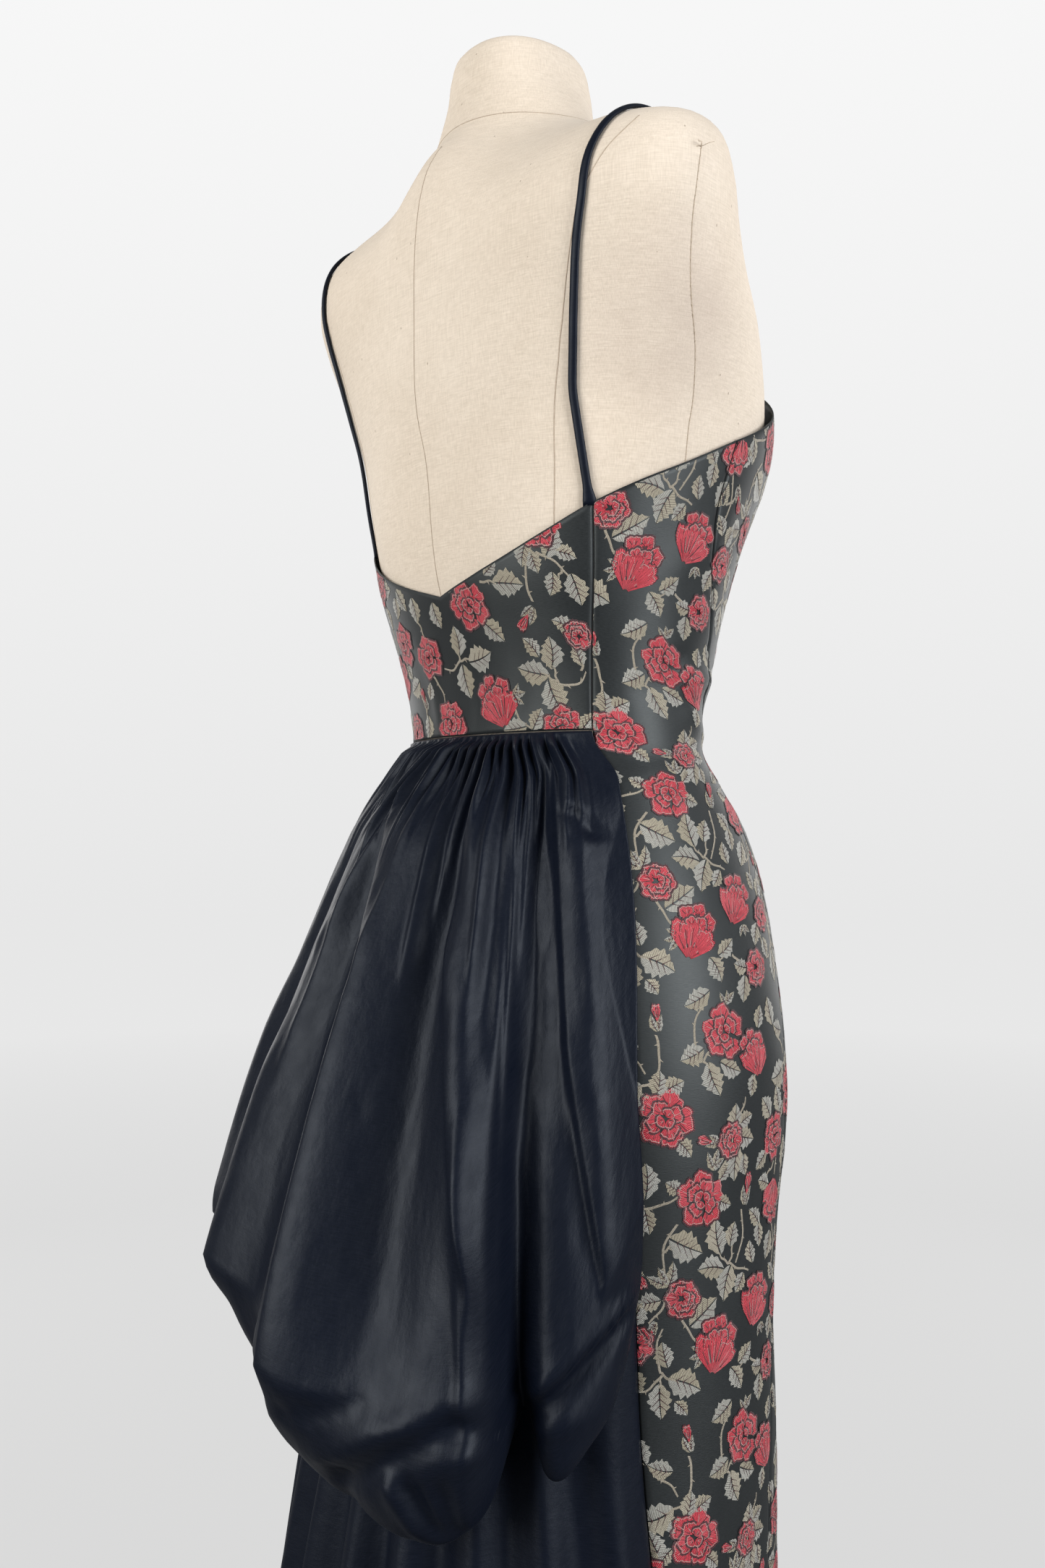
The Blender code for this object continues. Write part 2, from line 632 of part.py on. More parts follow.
def stand(finish):
    """A plain round base with a hub, a pole, and a collar under the torso."""
    hub_top = BASE_HEIGHT + HUB_HEIGHT
    turned(
        "stand_base",
        [
            (BASE_RADIUS, 0.0),
            (BASE_RADIUS, BASE_HEIGHT - STAND_EDGE),
            (BASE_RADIUS - STAND_EDGE, BASE_HEIGHT),
            (HUB_RADIUS, BASE_HEIGHT + STAND_EDGE),
            (HUB_RADIUS * HUB_TAPER, hub_top),
        ],
        finish,
        BASE_STEPS,
    )
    form_foot = WAIST_Z + FORM_SECTIONS[0].z
    collar_foot = form_foot - SEAM_GAP - COLLAR_HEIGHT
    turned(
        "stand_pole",
        [(POLE_RADIUS, hub_top + SEAM_GAP), (POLE_RADIUS, collar_foot - SEAM_GAP)],
        finish,
        POLE_STEPS,
    )
    turned(
        "stand_collar",
        [(COLLAR_RADIUS, collar_foot), (COLLAR_RADIUS, collar_foot + COLLAR_HEIGHT)],
        finish,
        COLLAR_STEPS,
    )


def surface(made):
    """A search tree of an object's faces."""
    points = [v.co.copy() for v in made.data.vertices]
    return BVHTree.FromPolygons(points, [tuple(face.vertices) for face in made.data.polygons])


def over_shoulder(tree, start, end, clearance):
    """Points on the form's outline from behind to in front, in a surface bowed towards its side."""
    middle_x = math.copysign(STRAP_SHOULDER_X, start.x)
    outline = []
    for step in range(SHOULDER_STEPS + 1):
        share = step / SHOULDER_STEPS
        swing = math.radians(SHOULDER_SWING_START + SHOULDER_SWING * share)
        bow = math.sin(math.pi * share)
        x = start.x + (end.x - start.x) * share + (middle_x - 0.5 * (start.x + end.x)) * bow
        outwards = Vector((0, math.cos(swing), math.sin(swing)))
        hit, normal, _, _ = tree.ray_cast(Vector((x, 0, WAIST_Z)) + SHOULDER_HEART + outwards, -outwards)
        floor = start.z if swing < math.pi / 2 else end.z
        if hit is not None and hit.z > floor:
            outline.append(hit + normal * clearance)
    return [start, *outline, end]


def taut(outline):
    """The outline with its hollows cut short, seen from the side, as a taut strap lies."""
    hull = []
    for point in outline:
        while len(hull) >= 2:
            a, b = hull[-2], hull[-1]
            if (b.y - a.y) * (point.z - a.z) - (b.z - a.z) * (point.y - a.y) > 0:
                break
            hull.pop()
        hull.append(point)
    return hull


def spaced(points, count):
    """The same polyline with count evenly spaced points."""
    lengths = np.cumsum([0.0, *((b - a).length for a, b in zip(points, points[1:]))])
    wanted = np.linspace(0, lengths[-1], count)
    axes = [np.interp(wanted, lengths, [p[k] for p in points]) for k in range(3)]
    return [Vector(p) for p in zip(*axes)]


def strap_path(form, start, end):
    """The strap's middle line, resting on the form's shoulder, with the form's normals."""
    tree = surface(form)
    clearance = 0.5 * STRAP_THICKNESS + STRAP_CLEARANCE
    path = spaced(taut(over_shoulder(tree, start, end, clearance)), STRAP_POINTS)
    for _ in range(3):
        for i in range(len(path) - 1):
            for share in (0.0, 0.25, 0.5, 0.75):
                point = path[i].lerp(path[i + 1], share)
                near, normal, _, _ = tree.find_nearest(point)
                push = normal * max(clearance - (point - near).dot(normal), 0.0)
                path[i] = path[i] + push
                path[i + 1] = path[i + 1] + push * (share > 0)
    return [(point, tree.find_nearest(point)[1]) for point in path]


def strap(name, side, form, finish):
    """A narrow rouleau strap, a flattened tube, from the side back seam to the front edge."""
    ends = []
    for turn_degrees in (STRAP_BACK_TURN, STRAP_FRONT_TURN):
        turn = math.radians(side * turn_degrees)
        z = top_edge(turn_degrees)
        radius = float(gown_radius(turn, z)) - 0.5 * BROCADE
        half_width = math.degrees(0.55 * STRAP_WIDTH / radius)
        highest = max(top_edge(turn_degrees + half_width), top_edge(turn_degrees - half_width))
        ends.append(Vector(place(turn, radius, highest + STRAP_CLEARANCE)))
    path = strap_path(form, *ends)
    sides = STRAP_SIDES
    points = []
    for i, (point, normal) in enumerate(path):
        ahead = path[min(i + 1, len(path) - 1)][0] - path[max(i - 1, 0)][0]
        flat = ahead.cross(normal).normalized()
        rise = flat.cross(ahead).normalized()
        for k in range(sides):
            angle = 2 * math.pi * k / sides
            across = flat * (0.5 * STRAP_WIDTH * math.cos(angle))
            points.append(point + across + rise * (0.5 * STRAP_THICKNESS * math.sin(angle)))
    faces = []
    for i in range(len(path) - 1):
        for k in range(sides):
            after = (k + 1) % sides
            faces.append((i * sides + k, i * sides + after, (i + 1) * sides + after, (i + 1) * sides + k))
    faces.append(tuple(range(sides)))
    faces.append(tuple((len(path) - 1) * sides + k for k in range(sides)))
    mesh_object(name, points, faces, finish)


def main():
    for old in list(bpy.data.objects):
        bpy.data.objects.remove(old)
    brocade = material("brocade", (0.020, 0.022, 0.026), 0.42, sheen=0.2)
    taffeta = material("taffeta", (0.012, 0.013, 0.018), 0.36, sheen=0.1)
    linen = material("linen", (0.72, 0.65, 0.55), 0.85)
    steel = material("steel", (0.10, 0.10, 0.11), 0.40, metallic=0.8)
    form = dress_form(linen)
    stand(steel)
    bodice_and_skirt(brocade)
    underskirt(taffeta)
    bustle(taffeta)
    strap("strap_right", 1, form, taffeta)
    strap("strap_left", -1, form, taffeta)


main()
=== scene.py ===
"""Looks of the bustle evening gown and its dress form: cloth, woven roses, seams, stand and light.

Metres, +Z up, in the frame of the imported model. The gown's front faces -Y and the wearer's right
side is at -X. A turn is an angle about the vertical axis, in degrees unless a name says otherwise:
0 at the centre back, 90 at the wearer's right, 180 at the centre front. Heights called z or drop
are measured from the waist seam. Woven motifs are drawn in millimetres of flat cloth.
"""

from collections import namedtuple
import math

import bpy
from mathutils import Matrix, Vector
from mathutils.bvhtree import BVHTree
import numpy as np


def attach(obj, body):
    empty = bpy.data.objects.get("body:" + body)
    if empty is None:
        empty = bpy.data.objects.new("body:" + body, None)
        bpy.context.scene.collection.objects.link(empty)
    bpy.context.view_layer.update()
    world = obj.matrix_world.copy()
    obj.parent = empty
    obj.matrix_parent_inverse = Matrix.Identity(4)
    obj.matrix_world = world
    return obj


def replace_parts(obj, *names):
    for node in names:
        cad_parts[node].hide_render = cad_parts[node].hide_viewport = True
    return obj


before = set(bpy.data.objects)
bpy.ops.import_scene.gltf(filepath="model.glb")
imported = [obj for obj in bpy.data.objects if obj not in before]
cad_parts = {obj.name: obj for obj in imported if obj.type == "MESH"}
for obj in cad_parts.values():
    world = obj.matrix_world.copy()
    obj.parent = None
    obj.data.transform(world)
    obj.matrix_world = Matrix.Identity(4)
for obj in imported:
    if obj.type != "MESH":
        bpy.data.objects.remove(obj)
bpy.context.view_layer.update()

# Body of the gown and the form, shaped as the solids are, with thinner cloth walls
WAIST_Z = 1.070
HEM_DROP = 1.025
SEAM_GAP = 0.0003
SQUARENESS = 2.25
BROCADE_WALL = 0.0008
TAFFETA_WALL = 0.0006
BUST_TURN = 146.0
BUST_HEIGHT = 0.198
BUST_SPREAD_TURN = 23.0
BUST_SPREAD_HEIGHT = 0.048
STRAP_BACK_TURN = 58.0  # the side back seam's upper end, under the strap
GOWN_BUST = 0.026
FORM_BUST = 0.022

Section = namedtuple("Section", "z side back front")
SeamPoint = namedtuple("SeamPoint", "z turn")
EdgePoint = namedtuple("EdgePoint", "turn z")
FormRing = namedtuple("FormRing", "side_x side_z middle back_y back_z front_y front_z dip")
Fold = namedtuple("Fold", "top_turn top_drop low_turn low_drop rise spread")
FineFold = namedtuple("FineFold", "top_turn top_drop low_turn low_drop rise left right")
BustleLine = namedtuple("BustleLine", "turn wide wide_drop bottom bottom_drop")
SkirtLevel = namedtuple("SkirtLevel", "z flare fold")
Crease = namedtuple("Crease", "turn z along across tilt depth")
Grain = namedtuple("Grain", "z lean lift")
Motif = namedtuple("Motif", "kind x y angle size")
Stem = namedtuple("Stem", "x0 y0 x1 y1 bow")

GOWN_SECTIONS = [Section(*row) for row in (
    (-1.030, 0.176, 0.136, 0.150),
    (-0.780, 0.168, 0.124, 0.138),
    (-0.560, 0.163, 0.120, 0.132),
    (-0.450, 0.163, 0.120, 0.131),
    (-0.380, 0.166, 0.122, 0.121),
    (-0.320, 0.169, 0.124, 0.124),
    (-0.260, 0.173, 0.126, 0.134),
    (-0.200, 0.173, 0.124, 0.131),
    (-0.150, 0.166, 0.118, 0.128),
    (-0.100, 0.153, 0.106, 0.127),
    (-0.060, 0.139, 0.092, 0.117),
    (-0.035, 0.130, 0.083, 0.096),
    (-0.010, 0.1205, 0.0765, 0.077),
    (0.000, 0.1200, 0.0765, 0.0765),
    (0.040, 0.1215, 0.0840, 0.0925),
    (0.070, 0.1265, 0.0940, 0.0980),
    (0.100, 0.1335, 0.1045, 0.1020),
    (0.135, 0.1415, 0.1110, 0.1055),
    (0.165, 0.1490, 0.1140, 0.1080),
    (0.205, 0.1580, 0.1180, 0.1110),
    (0.260, 0.1680, 0.1200, 0.1120),
)]
FORM_SECTIONS = [Section(*row) for row in (
    (-0.320, 0.140, 0.092, 0.090),
    (-0.290, 0.152, 0.104, 0.098),
    (-0.240, 0.161, 0.113, 0.105),
    (-0.190, 0.164, 0.115, 0.107),
    (-0.140, 0.158, 0.108, 0.106),
    (-0.100, 0.147, 0.099, 0.102),
    (-0.060, 0.133, 0.087, 0.095),
    (-0.030, 0.1225, 0.0775, 0.0840),
    (0.000, 0.1174, 0.0732, 0.0743),
    (0.030, 0.1178, 0.0780, 0.0855),
    (0.065, 0.1220, 0.0885, 0.0940),
    (0.100, 0.1298, 0.1008, 0.0980),
    (0.135, 0.1378, 0.1074, 0.1015),
    (0.165, 0.1452, 0.1104, 0.1040),
    (0.210, 0.1550, 0.1146, 0.1068),
)]
# Above the bust the form's rings tilt over the shoulders, up to the rounded top of the neck.
# A ring is widest at middle, and dips between its side and its centre.
SHOULDER_RINGS = [FormRing(*row) for row in (
    (0.1650, 0.240, 0.010, 0.1175, 0.240, -0.1040, 0.238, 0.000),
    (0.1760, 0.270, 0.024, 0.1195, 0.275, -0.0930, 0.262, 0.000),
    (0.1830, 0.300, 0.040, 0.1210, 0.310, -0.0760, 0.285, 0.006),
    (0.1880, 0.328, 0.050, 0.1205, 0.340, -0.0630, 0.303, 0.014),
    (0.1880, 0.353, 0.048, 0.1180, 0.362, -0.0530, 0.318, 0.023),
    (0.1790, 0.372, 0.040, 0.1140, 0.378, -0.0460, 0.331, 0.027),
    (0.1560, 0.384, 0.036, 0.1080, 0.390, -0.0380, 0.341, 0.026),
    (0.1200, 0.393, 0.033, 0.1010, 0.400, -0.0320, 0.350, 0.020),
    (0.0900, 0.403, 0.031, 0.0930, 0.409, -0.0270, 0.359, 0.014),
    (0.0680, 0.416, 0.029, 0.0860, 0.420, -0.0240, 0.370, 0.008),
    (0.0570, 0.432, 0.029, 0.0820, 0.434, -0.0230, 0.388, 0.003),
    (0.0500, 0.448, 0.029, 0.0790, 0.448, -0.0220, 0.420, 0.000),
    (0.0465, 0.465, 0.029, 0.0770, 0.468, -0.0200, 0.450, 0.000),
    (0.0430, 0.476, 0.029, 0.0730, 0.479, -0.0160, 0.466, 0.000),
    (0.0300, 0.482, 0.029, 0.0590, 0.484, -0.0020, 0.475, 0.000),
)]

SIDE_BACK_SEAM = [SeamPoint(*row) for row in (
    (-1.030, 76.0),
    (-0.550, 70.5),
    (-0.420, 66.5),
    (-0.200, 64.0),
    (0.000, 61.5),
    (0.150, STRAP_BACK_TURN),
)]
PRINCESS_SEAM = [SeamPoint(*row) for row in (
    (-1.030, 104.0),
    (-0.560, 108.0),
    (-0.250, 112.0),
    (0.000, 113.0),
    (0.060, 107.0),
    (0.130, 96.0),
    (0.200, 98.0),
    (0.260, 100.0),
)]
TOP_EDGE = [EdgePoint(*row) for row in (
    (0.0, 0.092),
    (20.0, 0.103),
    (33.0, 0.1125),
    (46.6, 0.1265),
    (58.0, 0.141),
    (69.0, 0.154),
    (83.0, 0.170),
    (97.0, 0.188),
    (110.0, 0.205),
    (122.0, 0.224),
    (135.0, 0.247),
    (150.0, 0.258),
    (165.0, 0.246),
    (180.0, 0.234),
)]

# The bustle: where each line down it is widest, and where its puff turns under
BUSTLE_LINES = [BustleLine(*row) for row in (
    (-64.8, 0.178, 0.280, 0.171, 0.330),
    (-58.0, 0.200, 0.310, 0.178, 0.360),
    (-50.0, 0.222, 0.332, 0.176, 0.386),
    (-45.0, 0.234, 0.338, 0.170, 0.394),
    (-38.0, 0.232, 0.332, 0.168, 0.404),
    (-30.0, 0.232, 0.332, 0.170, 0.418),
    (-18.0, 0.233, 0.344, 0.166, 0.434),
    (-8.0, 0.236, 0.358, 0.166, 0.447),
    (4.0, 0.239, 0.374, 0.172, 0.464),
    (14.0, 0.241, 0.386, 0.184, 0.471),
    (24.0, 0.239, 0.396, 0.200, 0.471),
    (32.0, 0.230, 0.396, 0.204, 0.464),
    (37.0, 0.216, 0.390, 0.194, 0.446),
    (41.5, 0.198, 0.372, 0.172, 0.404),
    (46.0, 0.203, 0.368, 0.186, 0.434),
    (54.0, 0.198, 0.335, 0.188, 0.416),
    (60.0, 0.189, 0.305, 0.180, 0.386),
    (64.8, 0.178, 0.280, 0.171, 0.336),
)]
# The bustle's large folds: where each ridge or trough starts and ends, how far it stands out
# and how wide it spreads, in degrees
BUSTLE_FOLDS = [Fold(*row) for row in (
    (-58.0, 0.06, -58.0, 0.33, 0.004, 4.5),
    (-51.0, 0.05, -50.0, 0.32, -0.005, 4.0),
    (-44.0, 0.03, -43.0, 0.37, 0.008, 5.0),
    (-33.0, 0.05, -31.0, 0.34, -0.007, 5.0),
    (-22.0, 0.04, -22.0, 0.42, 0.007, 6.0),
    (-8.0, 0.08, -8.0, 0.41, -0.014, 5.5),
    (-4.0, 0.03, 5.0, 0.43, 0.012, 5.0),
    (18.5, 0.05, 20.0, 0.38, -0.015, 5.0),
    (25.0, 0.04, 36.0, 0.32, 0.008, 3.5),
    (37.0, 0.16, 35.0, 0.44, 0.007, 3.5),
    (39.6, 0.20, 41.5, 0.41, -0.007, 2.2),
    (42.0, 0.04, 45.5, 0.24, -0.006, 3.0),
    (48.0, 0.06, 54.0, 0.31, -0.004, 2.5),
    (54.0, 0.03, 56.5, 0.28, 0.006, 3.5),
)]
FOLD_FADE = 0.18  # share of a fold's length over which each end dies away
BUSTLE_TOP_TURN = 61.0  # the gathered seam's ends, either side of the centre back
BUSTLE_FLAP_TURN = 67.5  # its loose side edges just below that seam
BUSTLE_EDGE_TURN = 64.8  # and from the hip down
FLAP_DROP = 0.032  # drop at which the side edges are as loose as that, sooner than in the solids
HIP_DROPS = (0.05, 0.22)  # drops between which they come in to the hip's turn
GATHERS = 28
GATHER_DEPTH = 0.0090  # how far the gathers stand out below the seam
GATHER_END = 0.17  # drop at which the last of them has died away
GATHER_ROUND = 0.60  # power that rounds their ridges and sharpens their hollows
ROW_POWER = 1.25  # how much closer together the rows lie near the seam
CRINKLE_DEPTH = 0.0011  # of the fine unevenness all over it
SMOOTH_FROM, SMOOTH_TO = 0.76, 0.90  # shares of the width between which the gathers die out
BUSTLE_LIFT = 0.18  # how far the gathers lift the cloth off a straight slope, as a share of its reach
BUSTLE_LIFT_END = 0.20  # share of the way down at which it is fully lifted
BUSTLE_ROUND = 0.25  # how much the slope rounds off towards the widest point, 1 is a sine
PUFF_FLATNESS = 0.25  # how straight the puff runs in to its foot, 0 is a quarter ellipse
BUSTLE_CLEARANCE = 0.0010  # to the gown under it
CALM_FROM = 0.94  # share of the width from which the fine folds die down to the side edge
CALM = 0.8  # how much of them is gone there
BUSTLE_COLUMNS, DRAPE_ROWS, PUFF_ROWS, TUCK_ROWS = 360, 96, 18, 8  # faces across and down it
BUSTLE_CLOTH = (620, 4.6)  # weave coordinates: half its width, and each row, in millimetres
TUCK_RISE = 0.055  # how far the puff's lining side climbs back up inside
TUCK_DEPTH = 0.045  # and how far in it reaches at most
TUCK_LEAST = 0.003  # and at least, at the side edges
TUCK_GAP = 0.009  # to the skirt
TUCK_EDGE_SHARE = 0.3  # of the rise and the gap, at the side edges

# The black back of the skirt: flare beyond the gown's oval, and depth of its hem folds
SKIRT_LEVELS = [SkirtLevel(*row) for row in (
    (-1.030, 0.118, 0.0150),
    (-0.800, 0.092, 0.0120),
    (-0.600, 0.062, 0.0085),
    (-0.500, 0.046, 0.0060),
    (-0.400, 0.028, 0.0030),
    (-0.300, 0.012, 0.0010),
    (-0.200, 0.002, 0.0000),
    (0.000, 0.000, 0.0000),
)]
SKIRT_FOLDS = 9
SKIRT_COLUMNS, SKIRT_ROWS = 132, 170
SKIRT_TOP = -0.004
SKIRT_SOFT = (0.0035, 0.0016)  # depths of its broad and narrow soft waves
SKIRT_CLOTH = 420  # half its width in weave coordinates, in millimetres
SKIRT_INSET = 0.0010  # where it lies under the bustle

# Creases of the brocade: middle, half length and half width in metres, tilt and depth
GOWN_CREASES = [Crease(*row) for row in (
    (99.0, 0.052, 0.030, 0.0050, 12.0, -0.0012),
    (104.0, 0.036, 0.026, 0.0045, -6.0, 0.0026),
    (97.0, 0.020, 0.034, 0.0060, 6.0, -0.0012),
    (108.0, 0.006, 0.030, 0.0055, -14.0, 0.0022),
    (90.0, -0.022, 0.036, 0.0070, 10.0, 0.0016),
    (84.0, 0.034, 0.022, 0.0060, 24.0, -0.0012),
    (70.0, 0.095, 0.045, 0.0090, 62.0, -0.0010),
    (95.0, 0.125, 0.030, 0.0080, 50.0, 0.0012),
    (88.0, -0.330, 0.090, 0.0160, 76.0, -0.0014),
    (76.0, -0.520, 0.120, 0.0180, 84.0, 0.0016),
    (98.0, -0.700, 0.180, 0.0200, 88.0, -0.0020),
    (-99.0, 0.048, 0.028, 0.0050, -12.0, -0.0012),
    (-105.0, 0.030, 0.028, 0.0050, 8.0, 0.0020),
    (-96.0, 0.012, 0.034, 0.0060, -5.0, -0.0011),
    (-88.0, -0.030, 0.034, 0.0070, -10.0, 0.0014),
    (-84.0, -0.360, 0.090, 0.0160, 100.0, -0.0014),
    (-92.0, -0.650, 0.160, 0.0200, 92.0, 0.0018),
    (8.0, 0.030, 0.022, 0.0060, 84.0, -0.0009),
    (34.0, 0.040, 0.030, 0.0070, 78.0, -0.0010),
    (-24.0, 0.036, 0.026, 0.0070, 96.0, 0.0009),
    (150.0, 0.020, 0.040, 0.0060, 8.0, 0.0020),
    (206.0, 0.010, 0.044, 0.0060, -6.0, 0.0018),
    (170.0, -0.050, 0.050, 0.0080, 5.0, 0.0016),
    (160.0, -0.480, 0.160, 0.0200, 80.0, -0.0020),
    (195.0, -0.560, 0.200, 0.0220, 95.0, 0.0022),
    (140.0, -0.760, 0.200, 0.0220, 86.0, 0.0020),
    (218.0, -0.800, 0.180, 0.0220, 93.0, -0.0020),
)]
SEAM_DEPTH = 0.0009
SEAM_WIDTH = 0.0011
CREASE_ARM = 0.14  # mean radius that turns a crease's angle into a length
NORMAL_STEP = 0.0008  # between the places that give the cloth's slope
EDGE_ROUNDS = 8  # times a panel's upper edge is worked out again from its own height

# Finer folds of the bustle's drape, beyond those of its solid
FINE_FOLDS = [FineFold(*row) for row in (
    (22.2, 0.02, 22.6, 0.16, 0.0060, 0.6, 3.0),
    (22.4, 0.13, 35.0, 0.32, 0.0090, 0.6, 4.0),
    (37.6, 0.10, 38.8, 0.33, 0.0034, 0.5, 0.9),
    (36.3, 0.14, 37.4, 0.36, 0.0028, 0.9, 0.5),
    (48.1, 0.03, 50.6, 0.21, 0.0060, 0.5, 3.0),
    (50.0, 0.19, 56.0, 0.32, 0.0060, 0.5, 3.0),
    (-14.0, 0.02, 0.0, 0.14, 0.0045, 0.8, 2.5),
    (1.4, 0.12, 4.4, 0.38, 0.0065, 1.0, 5.0),
    (31.6, 0.24, 35.3, 0.40, 0.0045, 0.8, 1.6),
    (39.2, 0.24, 41.2, 0.40, -0.0050, 1.0, 1.0),
    (60.5, 0.345, 42.5, 0.398, -0.0060, 1.8, 1.8),
    (61.0, 0.335, 44.0, 0.383, 0.0050, 1.5, 1.5),
    (34.8, 0.388, 11.0, 0.442, -0.0070, 2.6, 3.6),
    (34.0, 0.375, 12.0, 0.428, 0.0040, 3.0, 3.0),
    (26.5, 0.424, 29.8, 0.460, -0.0055, 1.2, 1.2),
    (23.6, 0.424, 26.8, 0.460, 0.0045, 1.4, 1.2),
    (31.2, 0.424, 32.8, 0.460, -0.0045, 1.1, 1.1),
    (36.0, 0.40, 34.0, 0.46, 0.0040, 1.5, 1.5),
    (17.5, 0.386, 8.0, 0.402, -0.0045, 3.0, 3.0),
    (14.0, 0.43, 11.0, 0.47, -0.0050, 1.8, 2.4),
    (52.0, 0.050, 58.5, 0.068, -0.0050, 2.6, 2.6),
    (9.0, 0.03, 12.0, 0.15, 0.0034, 0.8, 2.2),
    (15.0, 0.02, 16.0, 0.12, 0.0034, 0.8, 2.0),
    (28.5, 0.02, 30.5, 0.15, 0.0036, 0.7, 2.0),
    (32.5, 0.02, 33.0, 0.19, -0.0036, 1.2, 1.2),
    (41.0, 0.02, 40.0, 0.15, 0.0034, 0.7, 1.8),
    (45.0, 0.02, 45.5, 0.12, -0.0034, 1.2, 1.2),
    (-11.4, 0.05, -21.0, 0.14, 0.0040, 1.2, 2.5),
    (-16.0, 0.03, -17.6, 0.21, 0.0040, 1.0, 2.5),
    (-27.0, 0.04, -30.0, 0.22, 0.0036, 1.2, 2.0),
    (-38.0, 0.05, -40.0, 0.27, 0.0036, 1.5, 2.5),
    (-49.0, 0.04, -50.0, 0.24, -0.0036, 1.5, 1.5),
    (-56.0, 0.05, -57.0, 0.30, 0.0036, 1.5, 2.5),
    (-24.0, 0.20, -21.0, 0.37, 0.0050, 0.8, 3.5),
    (-43.0, 0.18, -46.0, 0.35, 0.0050, 0.8, 3.5),
    (-20.0, 0.36, -26.0, 0.44, -0.0050, 2.2, 3.0),
    (-40.0, 0.33, -46.0, 0.41, -0.0050, 2.2, 2.8),
    (-6.0, 0.38, -12.0, 0.455, -0.0050, 2.4, 3.2),
    (-31.0, 0.36, -29.0, 0.43, 0.0040, 2.0, 2.0),
    (2.0, 0.40, -1.0, 0.46, 0.0040, 2.0, 2.0),
)]
# Puckers round the place where the puff is caught up, as spokes from it
TACK_TURN = 41.1
TACK_DROP = 0.409
TACK_HOLLOW = 0.0050
TACK_RADIUS = 0.008
Spoke = namedtuple("Spoke", "angle reach rise width")
TACK_SPOKES = [Spoke(*row) for row in (
    (92.0, 0.075, -0.0040, 8.0),
    (66.0, 0.060, 0.0034, 7.0),
    (42.0, 0.085, -0.0044, 7.0),
    (118.0, 0.050, 0.0028, 8.0),
    (150.0, 0.060, -0.0040, 8.0),
    (178.0, 0.070, 0.0034, 9.0),
    (14.0, 0.060, 0.0030, 8.0),
)]


def spline(knots, values, where):
    """Smooth curve through (knots, values), read at where; flat beyond the two ends."""
    knots = np.asarray(knots, float)
    values = np.asarray(values, float)
    where = np.clip(np.asarray(where, float), knots[0], knots[-1])
    slopes = np.gradient(values, knots)
    i = np.clip(np.searchsorted(knots, where, side="right") - 1, 0, len(knots) - 2)
    width = knots[i + 1] - knots[i]
    t = (where - knots[i]) / width
    t2, t3 = t * t, t * t * t
    return (
        (2 * t3 - 3 * t2 + 1) * values[i]
        + (t3 - 2 * t2 + t) * width * slopes[i]
        + (3 * t2 - 2 * t3) * values[i + 1]
        + (t3 - t2) * width * slopes[i + 1]
    )


def table(rows, key, value, where):
    """The smooth curve of column value over column key."""
    return spline([getattr(r, key) for r in rows], [getattr(r, value) for r in rows], where)


def smoothstep(low, high, x):
    """From 0 at low to 1 at high, level at both ends."""
    t = np.clip((np.asarray(x, float) - low) / (high - low), 0, 1)
    return t * t * (3 - 2 * t)


def wrapped(angle):
    """Degrees brought into -180 to 180."""
    return (angle + 180.0) % 360.0 - 180.0


def waver(x, seed, waves=3):
    """A smooth uneven wave of x, between -1 and 1, the same for the same seed."""
    rng = np.random.RandomState(seed)
    total = 0.0
    for k in range(waves):
        total = total + math.sin(0.5 * math.pi / (k + 1)) * np.sin(x * (1.0 + 1.7 * k) + rng.uniform(0, 6.28))
    return total / waves


def oval_radius(turn, side, back, front):
    """Distance from the axis to a rounded oval, in the direction of turn (radians)."""
    across = np.abs(np.sin(turn)) / side
    depth = np.where(np.cos(turn) > 0, back, front)
    along = np.abs(np.cos(turn)) / depth
    return (across**SQUARENESS + along**SQUARENESS) ** (-1 / SQUARENESS)


def bust_swell(turn, z):
    """Height of the two soft cones of the bust, from 0 to about 1; turn is in radians."""
    total = 0.0
    for side in (-1, 1):
        away = np.angle(np.exp(1j * (turn - side * math.radians(BUST_TURN))))
        across = away / math.radians(BUST_SPREAD_TURN)
        up = (z - BUST_HEIGHT) / BUST_SPREAD_HEIGHT
        total = total + np.exp(-0.5 * (across**2 + up**2))
    return total


def body_radius(sections, bust, turn, z):
    """Distance from the axis to a body of oval sections with a bust; turn is in radians."""
    side, back, front = (table(sections, "z", key, z) for key in ("side", "back", "front"))
    return oval_radius(turn, side, back, front) + bust * bust_swell(turn, z)


def gown_radius(turn, z):
    """Outside of the brocade before its creases; turn is in radians."""
    return body_radius(GOWN_SECTIONS, GOWN_BUST, turn, z)


def back_seam(z):
    """Turn of the side back seam at a height, on the wearer's right."""
    return table(SIDE_BACK_SEAM, "z", "turn", z)


def princess_seam(z):
    """Turn of the front seam at a height, on the wearer's right."""
    return table(PRINCESS_SEAM, "z", "turn", z)


def top_edge(turn):
    """Height of the bodice's upper edge."""
    return table(TOP_EDGE, "turn", "z", np.abs(wrapped(turn)))


def place(turn, radius, z):
    """Points at a turn (radians), distance from the axis and height from the waist."""
    turn, radius, z = np.broadcast_arrays(turn, radius, z)
    return np.stack([-radius * np.sin(turn), radius * np.cos(turn), WAIST_Z + z], axis=-1)


